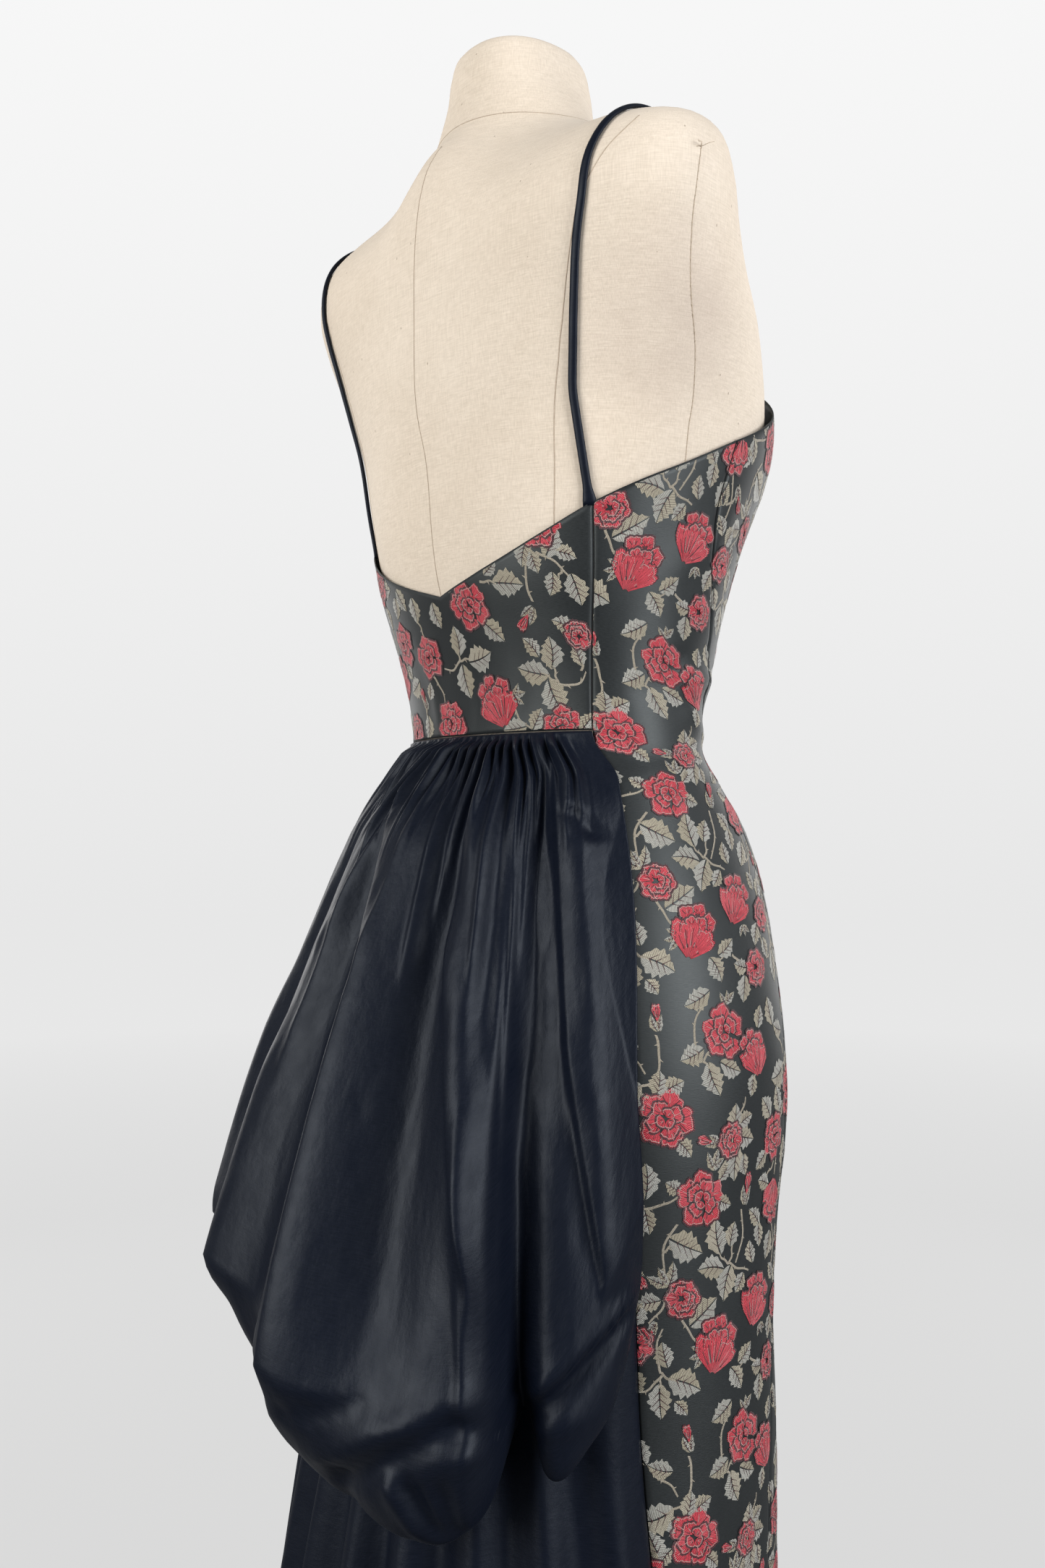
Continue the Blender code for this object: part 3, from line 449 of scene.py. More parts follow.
def brocade_relief(turn, z):
    """Creases of the brocade and the fine valleys of its seams, outwards in metres."""
    total = 0.0
    for crease in GOWN_CREASES:
        right = np.radians(wrapped(turn - crease.turn)) * CREASE_ARM
        up = z - crease.z
        tilt = math.radians(crease.tilt)
        along = (right * math.cos(tilt) + up * math.sin(tilt)) / crease.along
        across = (up * math.cos(tilt) - right * math.sin(tilt)) / crease.across
        across = across + 0.5 * np.sin(2.1 * along + crease.turn)
        total = total + crease.depth * np.exp(-0.5 * (along**4 + across**2))
    lean = np.abs(wrapped(turn))
    for seam in (back_seam(z), princess_seam(z)):
        away = np.radians(lean - seam) * CREASE_ARM / SEAM_WIDTH
        total = total - SEAM_DEPTH * np.exp(-0.5 * away**2)
    return total


def gown_points(turn, z):
    """Points on the outside of the creased brocade; turn is in degrees."""
    angle = np.radians(turn)
    return place(angle, gown_radius(angle, z) + brocade_relief(turn, z), z)


def raised(turn, z, height):
    """Points that stand off the brocade by height, square to it."""
    here = gown_points(turn, z)
    round_it = gown_points(turn + math.degrees(NORMAL_STEP / CREASE_ARM), z) - here
    up_it = gown_points(turn, z + NORMAL_STEP) - here
    normal = np.cross(up_it, round_it)
    normal /= np.linalg.norm(normal, axis=-1, keepdims=True)
    outwards = np.sign(np.sum(normal[..., :2] * here[..., :2], axis=-1, keepdims=True))
    return here + normal * outwards * np.asarray(height)[..., None]


def grid_quads(rows, columns):
    """Corners of the quads between rows + 1 lines of columns + 1 points."""
    corner = np.arange(rows * (columns + 1)).reshape(rows, columns + 1)[:, :-1].ravel()
    wide = columns + 1
    return np.stack([corner, corner + 1, corner + wide + 1, corner + wide], axis=1)


def mesh_piece(name, points, quads, finishes, slots=None, uv=None):
    """A smooth-shaded piece from arrays, riding on the model, with uv in millimetres of cloth."""
    mesh = bpy.data.meshes.new(name)
    mesh.vertices.add(len(points))
    mesh.vertices.foreach_set("co", np.asarray(points, np.float32).ravel())
    mesh.loops.add(quads.size)
    mesh.loops.foreach_set("vertex_index", quads.ravel().astype(np.int32))
    mesh.polygons.add(len(quads))
    mesh.polygons.foreach_set("loop_start", np.arange(0, quads.size, quads.shape[1], dtype=np.int32))
    for finish in finishes:
        mesh.materials.append(finish)
    if slots is not None:
        mesh.polygons.foreach_set("material_index", np.asarray(slots, np.int32))
    if uv is not None:
        layer = mesh.uv_layers.new(name="cloth")
        layer.data.foreach_set("uv", np.asarray(uv, np.float32)[quads.ravel()].ravel())
    mesh.update(calc_edges=True)
    mesh.validate()
    mesh.shade_smooth()
    made = bpy.data.objects.new(name, mesh)
    bpy.context.scene.collection.objects.link(made)
    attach(made, "root")
    return made


def normals_of(grid):
    """Outward unit normals of a grid of points, rows running up or down the cloth."""
    down = np.gradient(grid, axis=0)
    along = np.gradient(grid, axis=1)
    normal = np.cross(along, down)
    normal /= np.maximum(np.linalg.norm(normal, axis=-1, keepdims=True), 1e-12)
    return normal


def shell(name, grid, wall, finish, uv, outwards=1):
    """A thin cloth of that wall, closed round its edges, whose outside is the grid."""
    rows, columns = grid.shape[0] - 1, grid.shape[1] - 1
    inner = grid - normals_of(grid) * wall * outwards
    count = (rows + 1) * (columns + 1)
    outside = grid_quads(rows, columns)
    index = np.arange(count).reshape(rows + 1, columns + 1)
    loop = np.concatenate([index[0, :-1], index[:-1, -1], index[-1, :0:-1], index[:0:-1, 0]])
    after = np.roll(loop, -1)
    rim = np.stack([loop, loop + count, after + count, after], axis=1)
    quads = np.concatenate([outside, outside[:, ::-1] + count, rim])
    if outwards < 0:
        quads = quads[:, ::-1]
    points = np.concatenate([grid.reshape(-1, 3), inner.reshape(-1, 3)])
    flat = uv.reshape(-1, 2)
    return mesh_piece(name, points, quads, [finish], uv=np.concatenate([flat, flat]))


def closer_at_ends(count, pull=0.55):
    """Shares from 0 to 1 that lie closer together near both ends."""
    even = np.linspace(0, 1, count)
    return (1 - pull) * even + pull * 0.5 * (1 - np.cos(math.pi * even))


def panel_edges(name):
    """A panel's two seams, as functions of height, and its lower edge."""
    return {
        "back": (lambda z: -back_seam(z), back_seam, SEAM_GAP),
        "side_right": (back_seam, princess_seam, -HEM_DROP),
        "side_left": (lambda z: 360 - princess_seam(z), lambda z: 360 - back_seam(z), -HEM_DROP),
        "front": (princess_seam, lambda z: 360 - princess_seam(z), -HEM_DROP),
    }[name]


def cleared(turn, z, towards):
    """A seam's turn moved off it by half the seam's gap."""
    return turn + towards * np.degrees(0.5 * SEAM_GAP / gown_radius(np.radians(turn), z))


def panel(name, columns, rows, finish):
    """One cut piece of brocade between its seams, from its lower edge to the top edge."""
    start, end, bottom = panel_edges(name)
    share = closer_at_ends(columns + 1)[None, :]
    top = np.full((1, columns + 1), 0.15)
    for _ in range(EDGE_ROUNDS):
        top = top_edge(start(top) + (end(top) - start(top)) * share)
    rise = np.linspace(0, 1, rows + 1)[:, None]
    z = bottom + (top - bottom) * rise
    low, high = cleared(start(z), z, 1), cleared(end(z), z, -1)
    turn = low + (high - low) * share
    grid = gown_points(turn, z)
    uv = np.stack([np.radians(turn) * 1000 * CREASE_ARM, z * 1000], axis=-1)
    made = shell("gown_" + name, grid, BROCADE_WALL, finish, uv)
    return made


def fold_depth(folds, turn, drop):
    """How far the folds move the bustle's cloth outwards at a turn and drop.

    A fold ends in its spread, or in its spreads to the left and to the right."""
    total = 0.0
    for fold in folds:
        along = (drop - fold.top_drop) / (fold.low_drop - fold.top_drop)
        middle = fold.top_turn + (fold.low_turn - fold.top_turn) * np.clip(along, 0, 1)
        away = turn - middle
        away = away / np.where(away < 0, fold[5], fold[-1])
        fade = smoothstep(-FOLD_FADE, FOLD_FADE, along)
        fade = fade * (1 - smoothstep(1 - FOLD_FADE, 1 + FOLD_FADE, along))
        total = total + fold.rise * np.exp(-0.5 * away * away) * fade
    return total


def gather_wave(share):
    """Ridges and hollows of the gathers, from 0 to 1, with a slightly uneven rhythm."""
    position = 0.5 * GATHERS * (share + 1)
    uneven = 0.22 * np.sin(4.3 * math.pi * share) + 0.12 * np.sin(9.7 * math.pi * share + 1.0)
    return 0.5 - 0.5 * np.cos(2 * math.pi * (position + uneven))


def bustle_turn(share, drop):
    """Turn of a line of the bustle: the cloth spreads below the gathered seam."""
    flap = (BUSTLE_FLAP_TURN - BUSTLE_TOP_TURN) * smoothstep(0.0, FLAP_DROP, drop)
    hip = (BUSTLE_EDGE_TURN - BUSTLE_FLAP_TURN) * smoothstep(*HIP_DROPS, drop)
    return share * (BUSTLE_TOP_TURN + flap + hip)


def gathers(share, drop):
    """The gathers: round ridges with sharp hollows, each with its own height and length."""
    height = 1 + 0.55 * waver(share * 31, 3)
    reach = GATHER_END * (0.42 + 0.30 * waver(share * 23, 5))
    rise = smoothstep(0.0, 0.010, drop)
    fade = 1 - smoothstep(0.12, 1.0, drop / reach)
    flat = 1 - smoothstep(SMOOTH_FROM, SMOOTH_TO, np.abs(share))
    uneven = share + 0.007 * waver(share * 17, 9) * (1 - share**4)
    return GATHER_DEPTH * height * gather_wave(uneven) ** GATHER_ROUND * rise * fade * flat


def tack_puckers(turn, drop, arm):
    """Ridges and troughs that run out from the place where the puff is caught up."""
    right = np.radians(turn - TACK_TURN) * arm
    up = TACK_DROP - drop
    reach = np.hypot(right, up)
    angle = np.degrees(np.arctan2(up, right))
    total = -TACK_HOLLOW * np.exp(-0.5 * (reach / TACK_RADIUS) ** 2)
    for spoke in TACK_SPOKES:
        away = wrapped(angle - spoke.angle) / spoke.width
        along = reach / spoke.reach
        swell = np.clip(along, 0, 1) ** 0.4 * (1 - smoothstep(0.45, 1.0, along))
        total = total + spoke.rise * np.exp(-0.5 * away**2) * swell
    return total


def crinkle(turn, drop):
    """The papery unevenness of taffeta that has been folded and handled."""
    long = waver(turn * 0.35 + 9 * drop, 21) * waver(drop * 34 - turn * 0.10, 22)
    short = waver(turn * 0.80 - 30 * drop, 23) * waver(drop * 75 + turn * 0.22, 24)
    return CRINKLE_DEPTH * (long + 0.4 * short)


def underskirt_radius(share, z):
    """Outside of the skirt's back at a share of its width, -1 left seam to 1 right seam."""
    share = np.clip(share, -1.0, 1.0)
    turn = np.radians(back_seam(z) * share)
    flare = table(SKIRT_LEVELS, "z", "flare", z)
    fold = table(SKIRT_LEVELS, "z", "fold", z)
    inset = SKIRT_INSET * smoothstep(-0.35, -0.25, z)
    swing = np.maximum(np.cos(0.5 * math.pi * share), 0.0) ** 0.55
    wave = np.cos(math.pi * SKIRT_FOLDS * share) * (1 - share**8)
    return gown_radius(turn, z) + flare * swing + fold * wave - inset


def bustle_bow(part):
    """How far out the bustle has come, part of the way down to its widest point."""
    lift = BUSTLE_LIFT * (1 - part) * float(smoothstep(0.0, BUSTLE_LIFT_END, part))
    return (1 - BUSTLE_ROUND) * (part + lift) + BUSTLE_ROUND * math.sin(0.5 * math.pi * part)


def large_and_fine(turn, drop, radius, free):
    """All the bustle's folds at a place; free is how far the fine ones show there."""
    fine = fold_depth(FINE_FOLDS, turn, drop) + tack_puckers(turn, drop, radius) + crinkle(turn, drop)
    return fold_depth(BUSTLE_FOLDS, turn, drop) + fine * free


def bustle_rows():
    """Lines across the bustle, each as turn (radians), distance from the axis and height."""
    share = np.linspace(-1, 1, BUSTLE_COLUMNS + 1)
    calm = 1 - CALM * smoothstep(CALM_FROM, 1.0, np.abs(share))
    low = BUSTLE_EDGE_TURN * share
    wide, wide_drop, foot, foot_drop = (
        table(BUSTLE_LINES, "turn", key, low) for key in ("wide", "wide_drop", "bottom", "bottom_drop")
    )
    seam = gown_radius(np.radians(bustle_turn(share, 0.0)), 0.0) + 0.5 * TAFFETA_WALL
    for part in np.linspace(0, 1, DRAPE_ROWS + 1) ** ROW_POWER:
        drop = part * wide_drop
        turn = bustle_turn(share, drop)
        radius = seam + (wide - seam) * bustle_bow(part)
        least = gown_radius(np.radians(turn), -drop) + 2 * TAFFETA_WALL + BUSTLE_CLEARANCE
        radius = np.maximum(radius, least) if part > 0 else radius
        free = smoothstep(0.0, 0.02, drop) * calm
        radius = radius + gathers(share, drop) + large_and_fine(turn, drop, radius, free)
        yield np.radians(turn), np.maximum(radius, least if part > 0 else seam), -drop - SEAM_GAP
    turn = np.radians(low)
    for angle in np.linspace(0, 0.5 * math.pi, PUFF_ROWS + 1)[1:]:
        down = math.sin(angle)
        out = (1 - PUFF_FLATNESS) * math.cos(angle) + PUFF_FLATNESS * (1 - down)
        drop = wide_drop + (foot_drop - wide_drop) * down
        radius = foot + (wide - foot) * out
        yield turn, radius + large_and_fine(low, drop, radius, calm), -drop
    size = 1 - (1 - TUCK_EDGE_SHARE) * smoothstep(50.0, BUSTLE_EDGE_TURN, np.abs(low))
    top_z = TUCK_RISE * size - foot_drop
    skirt = underskirt_radius(low / back_seam(top_z), top_z)
    caught = np.minimum(np.maximum(skirt + TUCK_GAP * size, foot - TUCK_DEPTH), foot - TUCK_LEAST)
    for part in np.linspace(0, 1, TUCK_ROWS + 1)[1:]:
        radius = foot + (caught - foot) * part**0.7 + fold_depth(BUSTLE_FOLDS, low, foot_drop) * (1 - part)
        yield turn, radius, (top_z + foot_drop) * part**1.6 - foot_drop


def bustle(finish):
    """The gathered overskirt at the back, puffed at its foot and caught up near the right."""
    grid = np.stack([place(*row) for row in bustle_rows()])
    across = np.linspace(-1, 1, BUSTLE_COLUMNS + 1)[None, :] * BUSTLE_CLOTH[0]
    down = np.arange(len(grid))[:, None] * BUSTLE_CLOTH[1]
    uv = np.stack(np.broadcast_arrays(across, down), axis=-1)
    made = shell("bustle_drape", grid, TAFFETA_WALL, finish, uv, outwards=-1)
    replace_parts(made, "bustle")
    return made


def underskirt(finish):
    """The black back of the skirt, flaring to soft folds at the hem."""
    share = np.linspace(-1, 1, SKIRT_COLUMNS + 1)[None, :]
    z = (-HEM_DROP + (SKIRT_TOP + HEM_DROP) * np.linspace(0, 1, SKIRT_ROWS + 1) ** 0.95)[:, None]
    inward = np.degrees(0.5 * SEAM_GAP / underskirt_radius(1.0, z))
    turn = (back_seam(z) - inward) * share
    deep = smoothstep(0.25, 0.75, -z)
    broad, narrow = SKIRT_SOFT
    soft = broad * waver(share * 14 + z * 2.0, 12) + narrow * waver(share * 37 - z * 3, 13)
    soft = soft * deep * (1 - share**8)
    grid = place(np.radians(turn), underskirt_radius(share, z) + soft, z)
    uv = np.stack(np.broadcast_arrays(share * SKIRT_CLOTH, z * 1000), axis=-1)
    made = shell("skirt_back", grid, TAFFETA_WALL, finish, uv)
    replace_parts(made, "underskirt")
    return made


# One repeat of the woven roses, in millimetres of flat cloth: x to the wearer's front, y upwards
REPEAT_WIDE = 130.0
REPEAT_HIGH = 253.0
SKIRT_MOTIFS = [Motif(*row) for row in (
    ("rose", 0, 0, 15, 31),
    ("bud", 6, 32, 165, 17),
    ("leaf", 26, 43, 84, 17),
    ("leaf", 36, 31, -14, 17),
    ("leaf", 28, 17, -95, 19),
    ("leaf", 37, 15, -78, 12),
    ("sepals", 9, 16, 75, 12),
    ("leaf", 17, 14, 50, 11),
    ("leaf", 18, -4, -25, 13),
    ("leaf", -20, 9, 150, 11),
    ("leaf", -38, 13, 92, 19),
    ("leaf", -37, -10, -82, 15),
    ("leaf", -13, -27, -28, 23),
    ("sepals", -28, -50, 110, 15),
    ("half", -19, -59, -70, 23),
    ("bud", -40, -76, -115, 15),
    ("leaf", -41, -60, 190, 14),
    ("leaf", -4, -70, 32, 24),
    ("bud", 40, -3, 80, 20),
    ("leaf", 12, -25, 95, 22),
    ("leaf", 25, -26, 68, 15),
    ("leaf", 4, -45, 172, 20),
    ("leaf", 17, -56, -112, 21),
    ("leaf", 28, -58, -130, 13),
    ("side", 45, -73, 68, 34),
    ("sepals", 50, -90, -80, 9),
    ("leaf", 48, -20, 130, 15),
    ("leaf", 52, -32, -95, 15),
    ("leaf", 42, -41, 95, 14),
    ("side", 5, -92, 72, 36),
    ("sepals", -7, -94, 190, 11),
    ("leaf", -33, -92, 100, 15),
    ("leaf", -21, -112, -25, 22),
    ("leaf", -38, -120, -92, 20),
    ("leaf", -25, -126, -50, 11),
    ("half", 61, -118, -60, 23),
    ("leaf", 30, -103, 35, 16),
    ("leaf", 20, -117, -60, 17),
    ("leaf", 44, -116, 165, 13),
    ("leaf", 46, -131, -100, 16),
    ("leaf", 5, -134, 205, 19),
    ("rose", 24, -156, 160, 30),
    ("sepals", 28, -139, 80, 10),
    ("leaf", -2, -168, 200, 17),
    ("leaf", 11, -184, -75, 20),
    ("leaf", 26, -178, -25, 17),
    ("side", 50, -172, 100, 30),
    ("leaf", 60, -150, 70, 14),
    ("leaf", 44, -192, -110, 13),
    ("bud", -22, -147, 95, 17),
    ("leaf", -43, -160, 160, 15),
    ("leaf", -54, -148, 105, 18),
    ("leaf", -50, -188, 195, 23),
    ("leaf", -28, -184, 70, 15),
    ("leaf", -18, -186, 20, 14),
    ("leaf", -37, -198, -60, 17),
    ("rose", -26, -205, 70, 32),
    ("leaf", -14, -223, -45, 13),
    ("leaf", -46, -214, 230, 13),
    ("half", 22, -222, 120, 20),
    ("leaf", 36, -212, 20, 13),
    ("rose", 72, 26, 200, 26),
    ("leaf", 60, 45, 130, 16),
    ("leaf", 78, 48, 110, 17),
    ("leaf", 56, 14, 215, 14),
    ("side", 72, -14, 255, 29),
    ("leaf", 60, 0, 160, 13),
    ("leaf", 86, -16, 20, 16),
    ("leaf", 64, -42, 240, 18),
    ("bud", 83, -40, -70, 18),
    ("half", 79, -85, 100, 22),
    ("leaf", 82, -66, 60, 15),
    ("leaf", 68, -61, 120, 13),
    ("leaf", 66, -97, 245, 15),
    ("leaf", 78, -107, -70, 14),
)]
SKIRT_STEMS = [Stem(*row) for row in (
    (12, 14, 24, 35, -3),
    (14, 27, 24, 36, 2),
    (24, 36, 26, 46, 1),
    (-40, -2, -14, 6, -3),
    (-39, -1, -38, 10, 1),
    (-18, -13, -29, -47, -5),
    (-29, -30, -20, -26, 1),
    (-28, -53, -42, -72, 2),
    (-21, -69, -7, -90, -2),
    (35, -12, 26, -45, 4),
    (20, -44, 38, -52, -1),
    (20, -44, 12, -36, 1),
    (20, -44, 24, -33, -1),
    (-36, -103, -34, -76, 3),
    (-36, -104, -52, -114, 2),
    (-36, -103, -24, -110, -1),
    (-36, -104, -38, -112, 0),
    (36, -108, 54, -117, -2),
    (28, -104, 24, -112, 1),
    (5, -172, 22, -165, 2),
    (5, -172, 12, -178, -1),
    (2, -168, 12, -136, 5),
    (-24, -155, -31, -183, 4),
    (-31, -183, -46, -187, 1),
    (-30, -183, -27, -193, 1),
    (42, -196, 52, -183, 2),
    (-48, -164, -34, -178, 2),
    (22, -212, 36, -198, -3),
    (73, 24, 76, 2, 3),
    (74, 10, 63, 4, 1),
    (72, -27, 70, -60, 4),
    (70, -48, 82, -33, -3),
    (70, -80, 74, -104, -2),
)]
# How the cloth's grain leans and rises on the body, in metres, from its plumb line at the side
GRAIN_TURN = 79.4
GRAIN_FOOT = -0.288
GRAINS = [Grain(*row) for row in (
    (-0.560, 0.028, 0.0),
    (-0.493, 0.025, 0.0),
    (-0.410, 0.014, 0.0),
    (-0.340, 0.007, 0.0),
    (-0.290, 0.000, 0.0),
    (-0.240, 0.000, 0.003),
    (-0.190, -0.007, 0.003),
    (-0.140, -0.003, 0.001),
    (-0.090, 0.003, -0.002),
    (-0.035, 0.005, -0.006),
    (0.015, 0.004, -0.015),
    (0.060, -0.014, -0.017),
    (0.100, -0.023, -0.021),
    (0.160, -0.022, -0.022),
)]
# The bodice back is cut from another part of the same cloth: x from its centre, y from the waist
BODICE_MOTIFS = [Motif(*row) for row in (
    ("rose", 26, 84, 35, 29),
    ("leaf", 41, 66, -45, 18),
    ("leaf", 61, 94, -8, 21),
    ("leaf", 50, 105, 35, 12),
    ("leaf", -8, 81, -80, 16),
    ("rose", -30, 55, 100, 27),
    ("leaf", 5, 63, 85, 18),
    ("leaf", 23, 51, 12, 21),
    ("leaf", 6, 36, -85, 21),
    ("side", 31, 21, 105, 35),
    ("sepals", 44, 23, 10, 12),
    ("leaf", 44, 3, 185, 18),
    ("rose", -17, 9, 60, 28),
    ("bud", 70, 74, -135, 19),
    ("rose", 89, 128, 10, 26),
    ("leaf", 77, 111, -110, 15),
    ("leaf", 83, 106, -80, 13),
    ("leaf", 96, 117, 60, 19),
    ("leaf", 104, 109, -20, 13),
    ("leaf", 91, 92, -110, 14),
    ("leaf", 106, 88, -85, 18),
    ("leaf", 66, 54, 125, 14),
    ("leaf", 79, 50, 82, 19),
    ("leaf", 64, 39, 165, 21),
    ("leaf", 78, 22, -70, 22),
    ("half", 100, 60, 60, 17),
    ("leaf", 92, 66, 150, 15),
    ("leaf", 97, 48, 100, 13),
    ("rose", 80, 4, 20, 24),
    ("leaf", 97, 5, 50, 15),
    ("rose", -64, 68, 80, 27),
    ("bud", -49, 26, 110, 16),
    ("leaf", -33, 87, -95, 16),
    ("leaf", -48, 96, -60, 17),
    ("leaf", -60, 92, -110, 14),
    ("rose", -88, 112, 40, 28),
    ("leaf", -72, 108, -15, 17),
    ("leaf", -84, 88, -80, 16),
    ("leaf", -62, 38, 200, 18),
    ("leaf", -68, 50, 120, 13),
    ("side", -88, 46, 80, 32),
    ("leaf", -50, 8, -100, 17),
    ("half", -73, 6, 60, 24),
    ("leaf", -92, 16, 150, 18),
    ("leaf", -38, 33, 60, 12),
    ("leaf", 10, 100, 100, 12),
    ("leaf", 62, 8, 60, 15),
    ("leaf", -101, 74, 95, 17),
    ("rose", -112, 18, 0, 25),
)]
BODICE_STEMS = [Stem(*row) for row in (
    (40, 97, 53, 95, 1),
    (3, 50, -15, 46, 3),
    (3, 50, 14, 51, 0),
    (3, 50, 5, 58, 0),
    (44, 20, 57, 2, -3),
    (76, 82, 85, 118, 5),
    (85, 112, 104, 96, 2),
    (100, 100, 96, 95, 0),
    (80, 31, 100, 37, -5),
    (80, 31, 70, 38, 0),
    (80, 31, 79, 42, 0),
    (72, 47, 78, 40, 0),
    (97, 38, 99, 52, -1),
    (-58, 40, -50, 20, 3),
    (-50, 12, -56, 34, -2),
    (-33, 80, -30, 68, 1),
    (-72, 60, -64, 46, 2),
    (-30, 42, -22, 24, 2),
    (-84, 80, -88, 62, 2),
)]
RED, DARK, LINE, GOLD, SILVER, STALK = range(6)
GROWTH = {"rose": 1.08, "side": 1.06, "half": 1.10, "bud": 1.12, "leaf": 1.12, "sepals": 1.15}
Patch = namedtuple("Patch", "points uv shape slot")


def patch(x, y, height, u, v, slot):
    """A woven patch from a grid of flat points, their height off the cloth and thread direction."""
    x, y, height, u, v = np.broadcast_arrays(x, y, height, u, v)
    points = np.stack([x, y, height], axis=-1).reshape(-1, 3)
    return Patch(points, np.stack([u, v], axis=-1).reshape(-1, 2), x.shape, slot)


def thinned(whole):
    """A patch with every other row and column of its points left out."""
    rows, columns = (np.unique(np.append(np.arange(0, n, 2), n - 1)) for n in whole.shape)
    kept = (rows[:, None] * whole.shape[1] + columns).ravel()
    return Patch(whole.points[kept], whole.uv[kept], (len(rows), len(columns)), whole.slot)


def heading(angle):
    """The cosine and the sine of an angle in degrees."""
    return math.cos(math.radians(angle)), math.sin(math.radians(angle))


def moved(patches, x, y, angle):
    """The patches turned by angle degrees and then moved."""
    c, s = heading(angle)
    turned_by = np.array([[c, s, 0], [-s, c, 0], [0, 0, 1]])
    return [p._replace(points=p.points @ turned_by + (x, y, 0)) for p in patches]


LEAF_VEINS = (0.24, 0.42, 0.60)  # places along a leaf where its side veins start


def leaf(length, rng, width=0.60, teeth=5):
    """A serrated leaf, pointing along x, in two tones either side of a dark vein."""
    along = np.linspace(0, 1, 4 * teeth + 1)[:, None]
    bend = rng.uniform(-0.10, 0.10) * length
    middle = bend * (1 - (2 * along - 1) ** 2)
    swell = np.sin(math.pi * along**0.74) ** 1.05 * (1 - 0.12 * along)
    tooth = 1 - 0.34 * ((along * teeth + 0.125) % 1.0)
    half = 0.74 * width * length * swell * tooth + 0.12
    vein = 0.026 * length * (1 - 0.6 * along)
    patches = []
    for side, slot in ((1, GOLD), (-1, SILVER)):
        across = np.array([[0.0, 0.5, 1.0]])
        offset = vein + (half * rng.uniform(0.88, 1.1) - vein) * across
        x = (along - 0.5) * length + 0.22 * offset * across
        height = 0.08 + 0.24 * np.sin(math.pi * np.clip(across, 0.12, 0.97)) * (swell > 0.05)
        patches.append(patch(x, middle + side * offset, height, x + 0.6 * offset, offset, slot))
    for side in (1, -1):
        for at in LEAF_VEINS:
            root = np.array([(at - 0.5) * length, 4 * bend * at * (1 - at)])
            reach = 0.34 * width * length * math.sin(math.pi * at**0.74)
            out = np.array([[0.0], [1.0]]) * reach
            thick = np.array([[-0.36, 0.36]]) * np.array([[1.0], [0.5]])
            patches.append(patch(root[0] + out + thick, root[1] + side * out * 1.1, 0.36, out, thick, DARK))
    return patches


def sepals(length, rng):
    """Three narrow pointed leaves that spread from one point."""
    patches = []
    for angle in (-38, 4, 44):
        reach = length * rng.uniform(0.75, 1.0)
        blade = leaf(reach, rng, width=0.34, teeth=3)
        c, s = heading(angle)
        patches += moved(blade, c * reach * 0.45, s * reach * 0.45, angle)
    return patches


def petal(direction, spread, inner, outer, rng, layer, reach=0.0, ruffle=0.07):
    """A ruffled petal round a point, with a paler thread along its edge and a dark gap below."""
    a = np.linspace(-1, 1, 15)[:, None]
    angle = np.radians(direction + spread * a)
    wave = ruffle * np.sin(a * rng.uniform(6, 9) + rng.uniform(0, 6)) + 0.5 * ruffle * np.sin(a * 17)
    edge = outer * (1 - 0.30 * np.abs(a) ** 3.2 + wave)
    start = [reach * part for part in heading(direction)]

    def band(low, high, steps, height, slot):
        b = np.linspace(0, 1, steps)[None, :]
        radius = low + (high - low) * b
        x = start[0] + radius * np.cos(angle)
        y = start[1] + radius * np.sin(angle)
        lift = height * np.array([[0.3, *([1.0] * (steps - 2)), 0.35]]) if steps > 2 else height
        return patch(x, y, 0.10 + 0.05 * layer + lift, angle * outer * 0.7, radius, slot)

    patches = [band(inner + 0 * edge, edge, 4, 0.26, RED)]
    patches.append(band(edge * 0.90, edge * 0.90 + 0.60, 2, 0.34, LINE))
    if layer:
        patches.append(band(edge + 0.05, edge + 1.25, 2, 0.22, DARK))
    for k, crease in enumerate((rng.uniform(-0.75, -0.35), rng.uniform(-0.2, 0.2), rng.uniform(0.3, 0.75))):
        c, s = heading(direction + spread * crease)
        b = np.array([[0.30], [rng.uniform(0.62, 0.84)]]) * outer
        side = np.array([[-0.30, 0.30]]) * (1.3 - b / outer)
        x = start[0] + b * c - side * s
        y = start[1] + b * s + side * c
        patches.append(patch(x, y, 0.42 + 0.05 * layer, b, side, LINE if k == 1 else DARK))
    return patches


def rose(size, rng):
    """A full rose: five outer petals, four middle ones and a curled heart."""
    radius = 0.5 * size
    patches = []
    for k in range(5):
        direction = 72 * k + rng.uniform(-9, 9)
        reach = 0.36 * radius
        layer = (0, 0.6, 0.3, 0.9, 0.5)[k]
        patches += petal(direction, 66, 0.0, radius * rng.uniform(0.60, 0.70), rng, layer, reach, 0.09)
    for k in range(4):
        direction = 40 + 90 * k + rng.uniform(-12, 12)
        outer = radius * rng.uniform(0.46, 0.54)
        patches += petal(direction, 58, 0.0, outer, rng, 1.5 + 0.3 * k, 0.16 * radius)
    for k in range(3):
        direction = 120 * k + rng.uniform(-15, 15)
        outer = radius * rng.uniform(0.26, 0.32)
        patches += petal(direction, 68, 0.4, outer, rng, 3 + 0.3 * k, 0.05 * radius, 0.04)
    return patches


